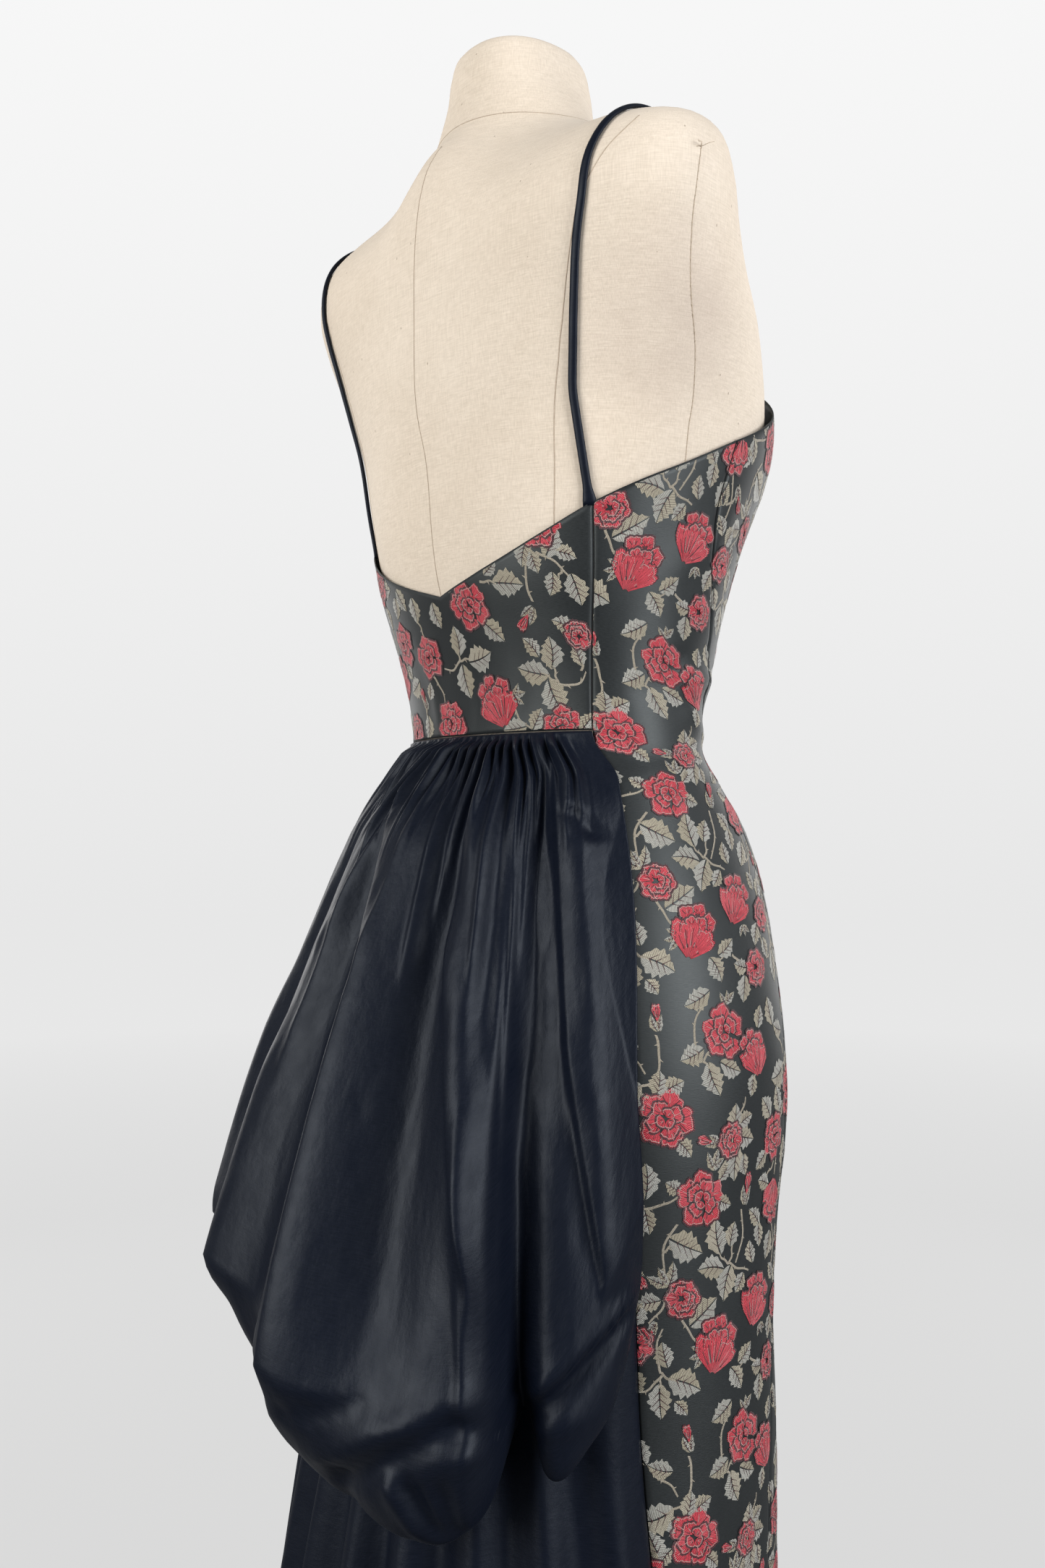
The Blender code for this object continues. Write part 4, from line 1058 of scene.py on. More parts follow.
def side_rose(size, rng):
    """A rose seen from its side: long petals that rise from its foot, under a ruffled rim."""
    patches = []
    foot = -0.5 * size
    rising = ((-30, 0.66), (29, 0.70), (-8, 0.84), (10, 0.74))
    for k, (direction, reach) in enumerate(rising):
        grown = petal(direction, 24, 0.06 * size, reach * size, rng, 0.2 + 0.5 * k, 0.0, 0.05)
        patches += moved(grown, foot, 0, 0)
    rim = ((0.16, -0.20, -40), (0.20, 0.20, 35), (0.30, 0.0, 0), (0.10, -0.07, -15), (0.08, 0.09, 20))
    for k, (x, y, angle) in enumerate(rim):
        grown = petal(0, 74, 0.0, (0.21 - 0.015 * k) * size, rng, 3 + 0.5 * k, 0.0, 0.09)
        patches += moved(grown, x * size, y * size, angle)
    return patches


def half_rose(size, rng):
    """A half-open rose: a round cup of three petals with a folded rim."""
    patches = []
    outer = (180, 120, 240, -62, 62, 0)
    for k, direction in enumerate(outer):
        reach = 0.36 if k < 3 else 0.40
        patches += petal(direction, 56, 0.0, reach * size, rng, 0.2 + 0.4 * k, 0.09 * size, 0.08)
    for k, direction in enumerate((-50, 60, 175, 5)):
        patches += petal(direction, 50, 0.0, 0.27 * size, rng, 3 + 0.4 * k, 0.06 * size)
    patches += petal(100, 70, 0.0, 0.17 * size, rng, 5, 0.03 * size)
    patches += petal(10, 70, 0.3, 0.15 * size, rng, 5.5, 0.04 * size)
    return patches


def bud(size, rng):
    """A closed bud in its sepals, pointing along x."""
    patches = moved(petal(0, 20, 0.5, 0.62 * size, rng, 0, 0.0, 0.05), -0.06 * size, 0, 0)
    patches += moved(petal(0, 11, 0.5, 0.56 * size, rng, 1, 0.0, 0.03), -0.02 * size, 0.3, 6)
    for angle, reach in ((24, 0.62), (-24, 0.58), (2, 0.40)):
        blade = leaf(reach * size, rng, width=0.30, teeth=3)
        c, s = heading(angle)
        patches += moved(blade, -0.30 * size + c * reach * size * 0.45, s * reach * size * 0.42, angle * 0.6)
    return patches


def stalk(stem, rng):
    """A curved stem with a few thorns."""
    a = np.linspace(0, 1, 11)[:, None]
    chord = np.array([stem.x1 - stem.x0, stem.y1 - stem.y0], float)
    length = np.hypot(*chord)
    ahead = chord / length
    aside = np.array([-ahead[1], ahead[0]])
    bow = stem.bow * 4 * a * (1 - a) + 0.5 * np.sin(a * 9 + stem.x0)
    x = stem.x0 + chord[0] * a + aside[0] * bow
    y = stem.y0 + chord[1] * a + aside[1] * bow
    side = np.array([[-1.0, 0.0, 1.0]]) * (0.85 - 0.25 * a)
    height = np.array([[0.05, 0.30, 0.05]])
    patches = [patch(x + aside[0] * side, y + aside[1] * side, height, a * length, side, STALK)]
    for k in range(int(length // 9)):
        at = (k + 0.6) / (length // 9 + 0.2)
        way = 1 if k % 2 else -1
        bend = stem.bow * 4 * at * (1 - at)
        foot = np.array([stem.x0, stem.y0]) + chord * at + aside * bend
        out = np.array([[0.0], [2.3]])
        wide = np.array([[-0.7, 0.7]]) * np.array([[1.0], [0.1]])
        tx = foot[0] + aside[0] * out * way + ahead[0] * (wide + 0.5 * out)
        ty = foot[1] + aside[1] * out * way + ahead[1] * (wide + 0.5 * out)
        patches.append(patch(tx, ty, 0.16, out, wide, STALK))
    return patches


def drawn(motifs, stems, coarse=False):
    """The whole chart as arrays: points in millimetres, quads, thread directions and slots."""
    makers = {"rose": rose, "side": side_rose, "half": half_rose, "bud": bud, "leaf": leaf, "sepals": sepals}
    patches = []
    for seed, stem in enumerate(stems):
        patches += stalk(stem, np.random.RandomState(seed))
    for seed, motif in enumerate(motifs):
        made = makers[motif.kind](motif.size * GROWTH[motif.kind], np.random.RandomState(MOTIF_SEEDS + seed))
        patches += moved(made, motif.x, motif.y, motif.angle)
    if coarse:
        patches = [thinned(p) for p in patches]
    starts = np.cumsum([0] + [len(p.points) for p in patches])
    points = np.concatenate([p.points for p in patches])
    grids = [grid_quads(p.shape[0] - 1, p.shape[1] - 1) for p in patches]
    quads = np.concatenate([grid + start for grid, start in zip(grids, starts)])
    slots = np.concatenate([np.full(len(grid), p.slot) for grid, p in zip(grids, patches)])
    return points, quads, np.concatenate([p.uv for p in patches]), slots


# How far the motifs stop short of a panel's seams, in degrees, its lower edge and its top edge
MARGIN_TURN = 0.25
MARGIN_FOOT = 0.0010
MARGIN_TOP = 0.0012
MILLIMETRE = 0.001
LEAST_FACE = 1e-9  # twice the area, in square metres, of the smallest face kept
MOTIF_SEEDS = 100  # the motifs' seeds count from here, the stems' from 0


class Measured:
    """Turns on the gown by the length of cloth round it from the grain line, level by level."""

    def __init__(self, grain, low, high):
        self.levels = np.linspace(-HEM_DROP, 0.27, 130)
        turns = np.linspace(low, high, 500)
        self.lengths = np.linspace(-0.40, 0.90, 900)
        rows = []
        for z in self.levels:
            ring = place(np.radians(turns), gown_radius(np.radians(turns), z), z)
            steps = np.linalg.norm(np.diff(ring, axis=0), axis=1)
            length = np.concatenate([[0.0], np.cumsum(steps)])
            rows.append(np.interp(self.lengths, length - np.interp(grain, turns, length), turns))
        self.turns = np.array(rows)

    def turn(self, length, z):
        """The turns at lengths of cloth from the grain line, and at heights."""
        i, s = self.fraction(self.levels, z)
        j, t = self.fraction(self.lengths, length)
        low = self.turns[i, j] * (1 - t) + self.turns[i, j + 1] * t
        high = self.turns[i + 1, j] * (1 - t) + self.turns[i + 1, j + 1] * t
        return low * (1 - s) + high * s

    @staticmethod
    def fraction(knots, value):
        """The even knot below each value, and how far the value is on the way to the next."""
        position = (value - knots[0]) / (knots[1] - knots[0])
        whole = np.clip(position.astype(int), 0, len(knots) - 2)
        return whole, np.clip(position - whole, 0, 1)


def woven(name, chart, cells, measured, foot, grained, finishes):
    """The motifs on one panel, cut off at its seams and its top edge."""
    points, quads, uv, slots = chart
    start, end, bottom = panel_edges(name)
    kept = []
    for column, row in cells:
        z = foot + MILLIMETRE * (points[:, 1] + row * REPEAT_HIGH)
        length = MILLIMETRE * (points[:, 0] + column * REPEAT_WIDE)
        if grained:
            length = length + table(GRAINS, "z", "lean", z)
            z = z + table(GRAINS, "z", "lift", z)
        turn = measured.turn(length, z)
        low, high = start(z) + MARGIN_TURN, end(z) - MARGIN_TURN
        foot_z = bottom + MARGIN_FOOT
        inside = (turn > low) & (turn < high) & (z > foot_z) & (z < top_edge(turn) - MARGIN_TOP)
        used = inside[quads].any(axis=1)
        if used.any():
            turn = np.clip(turn, low, high)
            z = np.clip(z, foot_z, top_edge(turn) - MARGIN_TOP)
            kept.append((turn, z, quads[used], slots[used]))
    sizes = np.cumsum([0] + [len(points)] * len(kept))
    turn = np.concatenate([k[0] for k in kept])
    z = np.concatenate([k[1] for k in kept])
    faces = np.concatenate([k[2] + size for k, size in zip(kept, sizes)])
    face_slots = np.concatenate([k[3] for k in kept])
    flat = np.stack([np.radians(turn) * CREASE_ARM, z], axis=-1)
    a, b, c, d = (flat[faces[:, k]] for k in range(4))
    twice = np.abs((c - a)[:, 0] * (d - b)[:, 1] - (c - a)[:, 1] * (d - b)[:, 0])
    whole = twice > LEAST_FACE
    faces, face_slots = faces[whole], face_slots[whole]
    used, faces = np.unique(faces, return_inverse=True)
    faces = faces.reshape(-1, 4)
    height = np.tile(points[:, 2], len(kept))[used] * MILLIMETRE
    where = raised(turn[used], z[used], height)
    made = mesh_piece("roses_" + name, where, faces, finishes, face_slots, np.tile(uv, (len(kept), 1))[used])
    return made


# Form: the seams of its cover as lines of turn and height, and how finely it is modelled
SHOULDER_RINGS_START = 0.22
LinePoint = namedtuple("LinePoint", "turn z")
ARMHOLE_SEAM = [LinePoint(*row) for row in (
    (47.7, 0.090),
    (48.6, 0.183),
    (52.5, 0.232),
    (54.7, 0.253),
    (58.6, 0.294),
    (60.5, 0.313),
    (62.5, 0.325),
    (66.8, 0.345),
    (73.5, 0.366),
)]
SIDE_SEAM = [LinePoint(*row) for row in (
    (82.0, 0.120),
    (83.2, 0.182),
    (84.7, 0.209),
    (84.1, 0.237),
    (81.5, 0.270),
    (81.4, 0.309),
    (83.0, 0.345),
)]
CENTRE_SEAM = [LinePoint(*row) for row in (
    (0.0, 0.060),
    (-1.4, 0.097),
    (-1.0, 0.175),
    (-4.6, 0.219),
    (-3.7, 0.270),
    (-1.4, 0.343),
    (1.7, 0.398),
)]
CHEST_SEAM = [LinePoint(*row) for row in (
    (146.0, 0.200),
    (140.0, 0.240),
    (132.0, 0.275),
    (122.0, 0.305),
    (112.0, 0.335),
    (104.0, 0.362),
)]
BREAST_SEAM = [
    LinePoint(180.0, 0.180),
    LinePoint(180.0, 0.260),
    LinePoint(180.0, 0.340),
]
FORM_COLUMNS = 152
FORM_STEP = 0.0048
DEGREE_ROUND = 0.0025  # length round the form of one degree
NECK_SEAM_Z = 0.412
NECK_SEAM_DIP = 0.006
NECK_AXIS_Y = 0.034
NECK_STEPS = 72
FORM_AXIS_Y = 0.03  # where the form's axis is at its shoulders
SEAM_RADIUS = 0.00042
SEAM_RISE = 0.00005
STITCH_STEP = 0.0024
STITCH_RADIUS = 0.00026
STITCH_RISE = 0.0005
THREAD_END_RADIUS = 0.0002
THREAD_ENDS = 5

# Straps: the path of their solids, with a bow and a spread at each end
STRAP_WIDTH = 0.0056
STRAP_THICKNESS = 0.0030
STRAP_FRONT_TURN = 150.0
STRAP_SHOULDER_X = 0.143
STRAP_FOOT_LENGTH = 0.014  # over which each end of a strap spreads
STRAP_FOOT_SPREAD = 0.65  # and how much wider it gets, as a share
# How far each strap bows towards the middle of the body, by share of its length from the back
StrapBow = namedtuple("StrapBow", "share inwards")
STRAP_BOWS = [StrapBow(*row) for row in (
    (0.00, 0.002),
    (0.07, 0.004),
    (0.15, 0.006),
    (0.24, 0.009),
    (0.32, 0.010),
    (0.39, 0.007),
    (0.46, 0.001),
    (0.54, 0.000),
    (1.00, 0.000),
)]
STRAP_CLEARANCE = 0.0004
STRAP_SIDES = 16
STRAP_CLOTH = (1.1, 3.0)  # weave coordinates from side to side and from step to step
STRAP_STEPS = 150
STRAP_ROOT = 0.002  # how far each end reaches down behind the brocade's edge
STRAP_FREE = 0.004  # height over its end from which a strap may lie on the form
STRAP_PROBES = 61  # places over the shoulder where the form is felt for
SHOULDER_HEART = Vector((0, 0.02, 0.24))
SHOULDER_SWING_START = -25.0
SHOULDER_SWING = 190.0

# Stand
POLE_RADIUS = 0.0140
COLLAR_RADIUS = 0.0420
COLLAR_HEIGHT = 0.0140
BASE_RADIUS = 0.1500
BASE_HEIGHT = 0.0140
HUB_TOP = 0.0590
BASE_EDGES = (0.0015, 0.0040)  # roundings of its lower and upper rim
HUB_EDGE = 0.0030
ProfilePoint = namedtuple("ProfilePoint", "radius height")
HUB_PROFILE = [ProfilePoint(*row) for row in (
    (0.1200, 0.0148),
    (0.0600, 0.0164),
    (0.0360, 0.0180),
    (0.0300, 0.0200),
    (0.0262, 0.0300),
    (0.0246, 0.0420),
)]
HUB_TOP_RADIUS = 0.0243
COLLAR_EDGE = 0.0020
RIM_STEPS = 5  # points round each rounded rim
SHARP_ANGLE = 40.0  # edges sharper than this stay sharp
FORM_FOOT = 0.750


def form_grid():
    """Rings of points up the form's linen cover, from its foot to the top of its neck."""
    rings = [
        FormRing(s.side, s.z, 0.0, s.back, s.z, -s.front, s.z, 0.0)
        for s in FORM_SECTIONS
        if s.z < SHOULDER_RINGS_START
    ] + SHOULDER_RINGS
    ways = np.array([[r.side_x, r.side_z, r.back_z] for r in rings])
    reach = np.concatenate([[0.0], np.cumsum(np.linalg.norm(np.diff(ways, axis=0), axis=1))])
    wanted = np.linspace(0, reach[-1], int(reach[-1] / FORM_STEP) + 1)[:, None]
    ring = {key: spline(reach, [getattr(r, key) for r in rings], wanted) for key in FormRing._fields}
    turn = np.linspace(0, 2 * math.pi, FORM_COLUMNS + 1)[None, :]
    back, side = np.cos(turn), np.sin(turn)
    end = np.where(back > 0, ring["back_z"], ring["front_z"])
    z = ring["side_z"] + (end - ring["side_z"]) * back * back - 4 * ring["dip"] * (back * side) ** 2
    depths = ring["back_y"] - ring["middle"], ring["middle"] - ring["front_y"]
    radius = oval_radius(turn, ring["side_x"], *depths) + FORM_BUST * bust_swell(turn, z)
    return np.stack([-radius * side, ring["middle"] + radius * back, WAIST_Z + z], axis=-1)


def capped(grid):
    """Points and quads of a ring grid closed at both ends, its last column joined to its first."""
    rows, columns = grid.shape[0], grid.shape[1] - 1
    points = grid[:, :-1].reshape(-1, 3)
    index = np.arange(rows * columns).reshape(rows, columns)
    after = np.roll(index, -1, axis=1)
    quads = np.stack([index[:-1], after[:-1], after[1:], index[1:]], axis=-1).reshape(-1, 4)
    k = np.arange(columns // 2 - 1)
    cap = np.stack([k, k + 1, -(k + 2) % columns, -(k + 1) % columns], axis=-1)
    return points, np.concatenate([quads, index[0][cap][:, ::-1], index[-1][cap]])


def form_cover(finish):
    """The form's linen cover, neck and underside closed."""
    points, quads = capped(form_grid())
    made = mesh_piece("form_cover", points, quads, [finish])
    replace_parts(made, "form_torso")
    return made


def tree_of(made):
    """A search tree of a piece's faces."""
    places = [v.co.copy() for v in made.data.vertices]
    return BVHTree.FromPolygons(places, [tuple(f.vertices) for f in made.data.polygons])


def on_form(tree, turn, z):
    """The place on the form at a turn and height, and the direction square to it."""
    angle = math.radians(turn)
    out = Vector((-math.sin(angle), math.cos(angle), 0))
    middle = Vector((0, FORM_AXIS_Y * float(smoothstep(0.15, 0.35, z)), WAIST_Z + z))
    spot, normal, _, _ = tree.ray_cast(middle + out, -out)
    return spot, normal


def tube(path, radius, sides, ups=None, flat=1.0, widths=None):
    """Points and quads of a closed tube along a path; flat squeezes it towards its ups."""
    points = []
    for i, spot in enumerate(path):
        ahead = (path[min(i + 1, len(path) - 1)] - path[max(i - 1, 0)]).normalized()
        up = ups[i] if ups else ahead.orthogonal()
        across = ahead.cross(up).normalized()
        rise = across.cross(ahead).normalized()
        for k in range(sides):
            angle = 2 * math.pi * k / sides
            wide = radius if widths is None else radius * widths[i]
            points.append(spot + across * (wide * math.cos(angle)) + rise * (radius * flat * math.sin(angle)))
    grid = np.array(points).reshape(len(path), sides, 3)
    return capped(np.concatenate([grid, grid[:, :1]], axis=1))


def joined(parts):
    """One set of points and quads from several."""
    starts = np.cumsum([0] + [len(points) for points, _ in parts])
    quads = [q + start for (_, q), start in zip(parts, starts)]
    return np.concatenate([points for points, _ in parts]), np.concatenate(quads)


def seam_line(tree, rows, side, spacing=0.004):
    """Places along a seam of the form's cover."""
    knots = np.arange(len(rows), dtype=float)
    steps = [math.hypot(b.z - a.z, DEGREE_ROUND * (b.turn - a.turn)) for a, b in zip(rows, rows[1:])]
    length = np.cumsum([0.0, *steps])
    where = np.linspace(0, length[-1], int(length[-1] / spacing) + 2)
    share = np.interp(where, length, knots)
    turns = spline(knots, [r.turn for r in rows], share) * side
    heights = spline(knots, [r.z for r in rows], share)
    found = [on_form(tree, t, z) for t, z in zip(turns, heights)]
    return [(spot, normal) for spot, normal in found if spot is not None]


def form_seams_and_shade(tree, finish, thread):
    """The fine seams of the cover as thin raised tubes whose darker colour is painted shade of their valleys,
    and the stitches that show down its sides.
    """
    lines = [seam_line(tree, CENTRE_SEAM, 1), seam_line(tree, BREAST_SEAM, 1)]
    for side in (1, -1):
        lines += [seam_line(tree, rows, side) for rows in (ARMHOLE_SEAM, SIDE_SEAM, CHEST_SEAM)]
    neck = []
    for k in range(NECK_STEPS + 1):
        turn = math.radians(360 / NECK_STEPS * k)
        out = Vector((-math.sin(turn), math.cos(turn), 0))
        height = WAIST_Z + NECK_SEAM_Z + NECK_SEAM_DIP * math.cos(turn)
        spot, normal, _, _ = tree.ray_cast(Vector((0, NECK_AXIS_Y, height)) + out, -out)
        neck.append((spot, normal))
    parts = []
    for line in [*lines, neck]:
        path = [spot + normal * SEAM_RISE for spot, normal in line]
        parts.append(tube(path, SEAM_RADIUS, 6, [normal for _, normal in line], 0.5))
    points, quads = joined(parts)
    seams = mesh_piece("form_seams_and_shade", points, quads, [finish])
    parts = []
    for side in (1, -1):
        line = seam_line(tree, SIDE_SEAM, side, STITCH_STEP)
        for (a, normal), (b, _) in list(zip(line, line[1:]))[::2]:
            low, high = a.lerp(b, 0.02), a.lerp(b, 0.98)
            path = [low, low.lerp(high, 0.5) + normal * STITCH_RISE, high]
            parts.append(tube(path, STITCH_RADIUS, 5, [normal] * 3))
        top, normal = line[-1]
        for k in range(THREAD_ENDS):
            swing = Vector((math.sin(k * 2.1), math.cos(k * 1.7), 0.4 * math.sin(k))).normalized()
            end = top + normal * 0.003 + swing * 0.006
            path = [top, top.lerp(end, 0.5) + normal * 0.002, end]
            parts.append(tube(path, THREAD_END_RADIUS, 5, [normal] * 3))
    points, quads = joined(parts)
    stitches = mesh_piece("form_stitches", points, quads, [thread])


def strap_line(tree, side):
    """The places of the strap's middle line over the shoulder, and the form's normal at each."""
    ends = []
    for turn in (STRAP_BACK_TURN, STRAP_FRONT_TURN):
        z = float(top_edge(turn))
        radius = float(gown_radius(math.radians(turn), z)) - 0.5 * BROCADE_WALL
        ends.append(Vector(place(math.radians(side * turn), radius, z - STRAP_ROOT)))
    start, end = ends
    bulge = math.copysign(STRAP_SHOULDER_X, start.x) - 0.5 * (start.x + end.x)
    outline = []
    for share in np.linspace(0, 1, STRAP_PROBES):
        swing = math.radians(SHOULDER_SWING_START + SHOULDER_SWING * share)
        out = Vector((0, math.cos(swing), math.sin(swing)))
        x = start.x + (end.x - start.x) * share + bulge * math.sin(math.pi * share)
        spot, normal, _, _ = tree.ray_cast(Vector((x, 0, WAIST_Z)) + SHOULDER_HEART + out, -out)
        floor = start.z if swing < math.pi / 2 else end.z
        if spot is not None and spot.z > floor + STRAP_FREE:
            outline.append(spot + normal * (0.5 * STRAP_THICKNESS + STRAP_CLEARANCE))
    hull = []
    for point in [start, *outline, end]:
        while len(hull) >= 2:
            a, b = hull[-2], hull[-1]
            if (b.y - a.y) * (point.z - a.z) - (b.z - a.z) * (point.y - a.y) > 0:
                break
            hull.pop()
        hull.append(point)
    lengths = np.cumsum([0.0, *((b - a).length for a, b in zip(hull, hull[1:]))])
    wanted = np.linspace(0, lengths[-1], STRAP_STEPS)
    path = [Vector(p) for p in zip(*(np.interp(wanted, lengths, [p[k] for p in hull]) for k in range(3)))]
    bows = table(STRAP_BOWS, "share", "inwards", wanted / lengths[-1])
    for point, bow in zip(path, bows):
        point.x -= math.copysign(bow, start.x)
    least = 0.5 * STRAP_THICKNESS + STRAP_CLEARANCE
    for _ in range(3):
        for i, point in enumerate(path):
            near, normal, _, _ = tree.find_nearest(point)
            path[i] = point + normal * max(least - (point - near).dot(normal), 0.0)
    for _ in range(4):
        path[1:-1] = [(a + 2 * b + c) / 4 for a, b, c in zip(path, path[1:], path[2:])]
    return path, [tree.find_nearest(point)[1] for point in path]


def strap(name, node, side, tree, finish):
    """A rouleau strap: a narrow soft tube, flattened against the form and spread at its ends; its seam,
    turned to the skin, is not drawn.
    """
    path, ups = strap_line(tree, side)
    length = sum((b - a).length for a, b in zip(path, path[1:]))
    to_end = (0.5 - abs(0.5 - np.linspace(0, 1, len(path)))) * length
    widths = 1 + STRAP_FOOT_SPREAD * (1 - smoothstep(0.0, STRAP_FOOT_LENGTH, to_end))
    points, quads = tube(path, 0.5 * STRAP_WIDTH, STRAP_SIDES, ups, STRAP_THICKNESS / STRAP_WIDTH, widths)
    around, along = np.arange(STRAP_SIDES) * STRAP_CLOTH[0], np.arange(len(path)) * STRAP_CLOTH[1]
    uv = np.stack([np.tile(around, len(path)), np.repeat(along, STRAP_SIDES)], axis=1)
    made = mesh_piece(name, points, quads, [finish], uv=uv)
    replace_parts(made, node)
    return made


def turned(name, profile, finish, steps=96):
    """A piece turned about the vertical axis from (radius, height) points, bottom to top."""
    angle = np.linspace(0, 2 * math.pi, steps + 1)[None, :]
    radius = np.array([[p[0]] for p in profile])
    height = np.array([[p[1]] for p in profile])
    grid = np.stack(np.broadcast_arrays(radius * np.cos(angle), radius * np.sin(angle), height), axis=-1)
    points, quads = capped(grid)
    made = mesh_piece(name, points, quads, [finish])
    made.data.set_sharp_from_angle(angle=math.radians(SHARP_ANGLE))
    return made


def rounded(radius, height, edge, inwards=1):
    """Points of a rounded rim that ends at (radius, height)."""
    steps = np.linspace(0, 0.5 * math.pi, RIM_STEPS)
    centre = radius - edge
    if inwards > 0:
        return [(centre + edge * math.cos(s), height - edge + edge * math.sin(s)) for s in steps]
    return [(centre + edge * math.sin(s), height + edge - edge * math.cos(s)) for s in steps]


def stand(finish):
    """The round base with its hub, the pole, and the collar under the torso."""
    lower, upper = BASE_EDGES
    profile = [*rounded(BASE_RADIUS, 0.0, lower, -1), *rounded(BASE_RADIUS, BASE_HEIGHT, upper)]
    profile += [*HUB_PROFILE, *rounded(HUB_TOP_RADIUS, HUB_TOP, HUB_EDGE)]
    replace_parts(turned("base_plate", profile, finish), "stand_base")
    collar_top = FORM_FOOT - SEAM_GAP
    collar_foot = collar_top - COLLAR_HEIGHT
    pole = [(POLE_RADIUS, z) for z in (HUB_TOP + SEAM_GAP, 0.10, 0.40, collar_foot - SEAM_GAP)]
    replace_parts(turned("pole_tube", pole, finish, 64), "stand_pole")
    rim = [*rounded(COLLAR_RADIUS, collar_foot, COLLAR_EDGE, -1), (COLLAR_RADIUS, collar_top)]
    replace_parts(turned("collar_flange", rim, finish, 72), "stand_collar")


def new_finish(name, colour, roughness, **values):
    """A Principled material: its node tree, its shader, and constants set on the shader's sockets."""
    made = bpy.data.materials.new(name)
    made.use_nodes = True
    tree = made.node_tree
    shader = tree.nodes["Principled BSDF"]
    shader.inputs["Base Color"].default_value = (*colour, 1.0)
    shader.inputs["Roughness"].default_value = roughness
    for key, value in values.items():
        shader.inputs[key.replace("_", " ")].default_value = value
    return made, tree, shader


def add(tree, kind, inputs=(), **settings):
    """A node of that kind, with settings, and inputs given as values or as sockets to link."""
    made = tree.nodes.new("ShaderNode" + kind)
    for key, value in settings.items():
        setattr(made, key, value)
    for key, value in dict(inputs).items():
        if isinstance(value, bpy.types.NodeSocket):
            tree.links.new(value, made.inputs[key])
        else:
            made.inputs[key].default_value = value
    return made


def mapped(tree, scale, source="UV"):
    """Coordinates stretched by scale, from the cloth's millimetres or the object's metres."""
    where = add(tree, "TexCoord").outputs[source]
    return add(tree, "Mapping", {"Vector": where, "Scale": scale}).outputs["Vector"]


def noise(tree, scale, source="UV", detail=3.0, roughness=0.5):
    """Cloudy noise, from 0 to 1, on coordinates stretched by scale."""
    vector = mapped(tree, scale, source)
    values = {"Vector": vector, "Scale": 1.0, "Detail": detail, "Roughness": roughness}
    return add(tree, "TexNoise", values).outputs["Fac"]


def waves(tree, scale, size, distortion=0.0):
    """Parallel bands, from 0 to 1, on the cloth's coordinates stretched by scale."""
    values = {"Vector": mapped(tree, scale), "Scale": size, "Distortion": distortion, "Detail": 1.0}
    return add(tree, "TexWave", values).outputs["Fac"]


def ramp(tree, factor, *stops):
    """A colour ramp with (position, colour) stops."""
    made = add(tree, "ValToRGB", {"Fac": factor})
    elements = made.color_ramp.elements
    while len(elements) < len(stops):
        elements.new(0.5)
    for element, (position, colour) in zip(elements, stops):
        element.position = position
        element.color = (*colour, 1.0)
    return made.outputs["Color"]


def blended(tree, factor, a, b):
    """Two colours mixed by a factor; each of the three is a socket or a constant."""
    made = add(tree, "Mix", data_type="RGBA")
    for socket, value in ((made.inputs[0], factor), (made.inputs[6], a), (made.inputs[7], b)):
        if isinstance(value, bpy.types.NodeSocket):
            tree.links.new(value, socket)
        else:
            socket.default_value = value if isinstance(value, float) else (*value, 1.0)
    return made.outputs[2]


def summed(tree, *pairs):
    """Sum of (socket, weight) pairs."""
    total = None
    for socket, weight in pairs:
        part = add(tree, "Math", {0: socket, 1: weight}, operation="MULTIPLY").outputs[0]
        total = part if total is None else add(tree, "Math", {0: total, 1: part}).outputs[0]
    return total


def bump(tree, shader, height, distance, strength):
    """Relief on a shader, from a height between 0 and 1 and the depth it stands for in metres."""
    made = add(tree, "Bump", {"Height": height, "Distance": distance, "Strength": strength})
    tree.links.new(made.outputs["Normal"], shader.inputs["Normal"])


def satin_ground():
    """The brocade's ground: black satin with a slate-green sheen and a fine slubbed weave."""
    made, tree, shader = new_finish(
        "brocade_satin",
        (0.007, 0.008, 0.010),
        0.40,
        Specular_IOR_Level=0.50,
        Specular_Tint=(0.88, 0.95, 0.95, 1.0),
        Sheen_Weight=0.12,
        Sheen_Roughness=0.30,
        Sheen_Tint=(0.62, 0.68, 0.68, 1.0),
    )
    slub = noise(tree, (0.35, 2.4, 1.0), detail=4.0)
    cloudy = noise(tree, (0.03, 0.03, 1.0), detail=2.0)
    weft = waves(tree, (0.0, 1.0, 1.0), 1.1, 1.5)
    base = ramp(tree, slub, (0.30, (0.003, 0.004, 0.005)), (0.72, (0.013, 0.015, 0.017)))
    worn = ramp(tree, cloudy, (0.3, (0.004, 0.005, 0.006)), (0.7, (0.012, 0.014, 0.015)))
    tree.links.new(blended(tree, 0.35, base, worn), shader.inputs["Base Color"])
    tree.links.new(ramp(tree, slub, (0.2, (0.42,) * 3), (0.8, (0.56,) * 3)), shader.inputs["Roughness"])
    bump(tree, shader, summed(tree, (slub, 0.7), (weft, 0.3)), 0.00022, 0.55)
    return made


def thread(name, dark, mid, light, pitch, roughness=0.55, sheen=0.25):
    """Woven pattern thread: corded across the patch, uneven in tone along it."""
    made, tree, shader = new_finish(name, mid, roughness, Sheen_Weight=sheen, Sheen_Roughness=0.4)
    cords = waves(tree, (1.0, 0.12, 1.0), pitch, 2.2)
    fleck = noise(tree, (0.9, 0.9, 1.0), detail=3.0, roughness=0.7)
    tone = summed(tree, (cords, 0.55), (fleck, 0.55))
    tree.links.new(ramp(tree, tone, (0.36, dark), (0.53, mid), (0.72, light)), shader.inputs["Base Color"])
    bump(tree, shader, tone, 0.0004, 0.8)
    return made


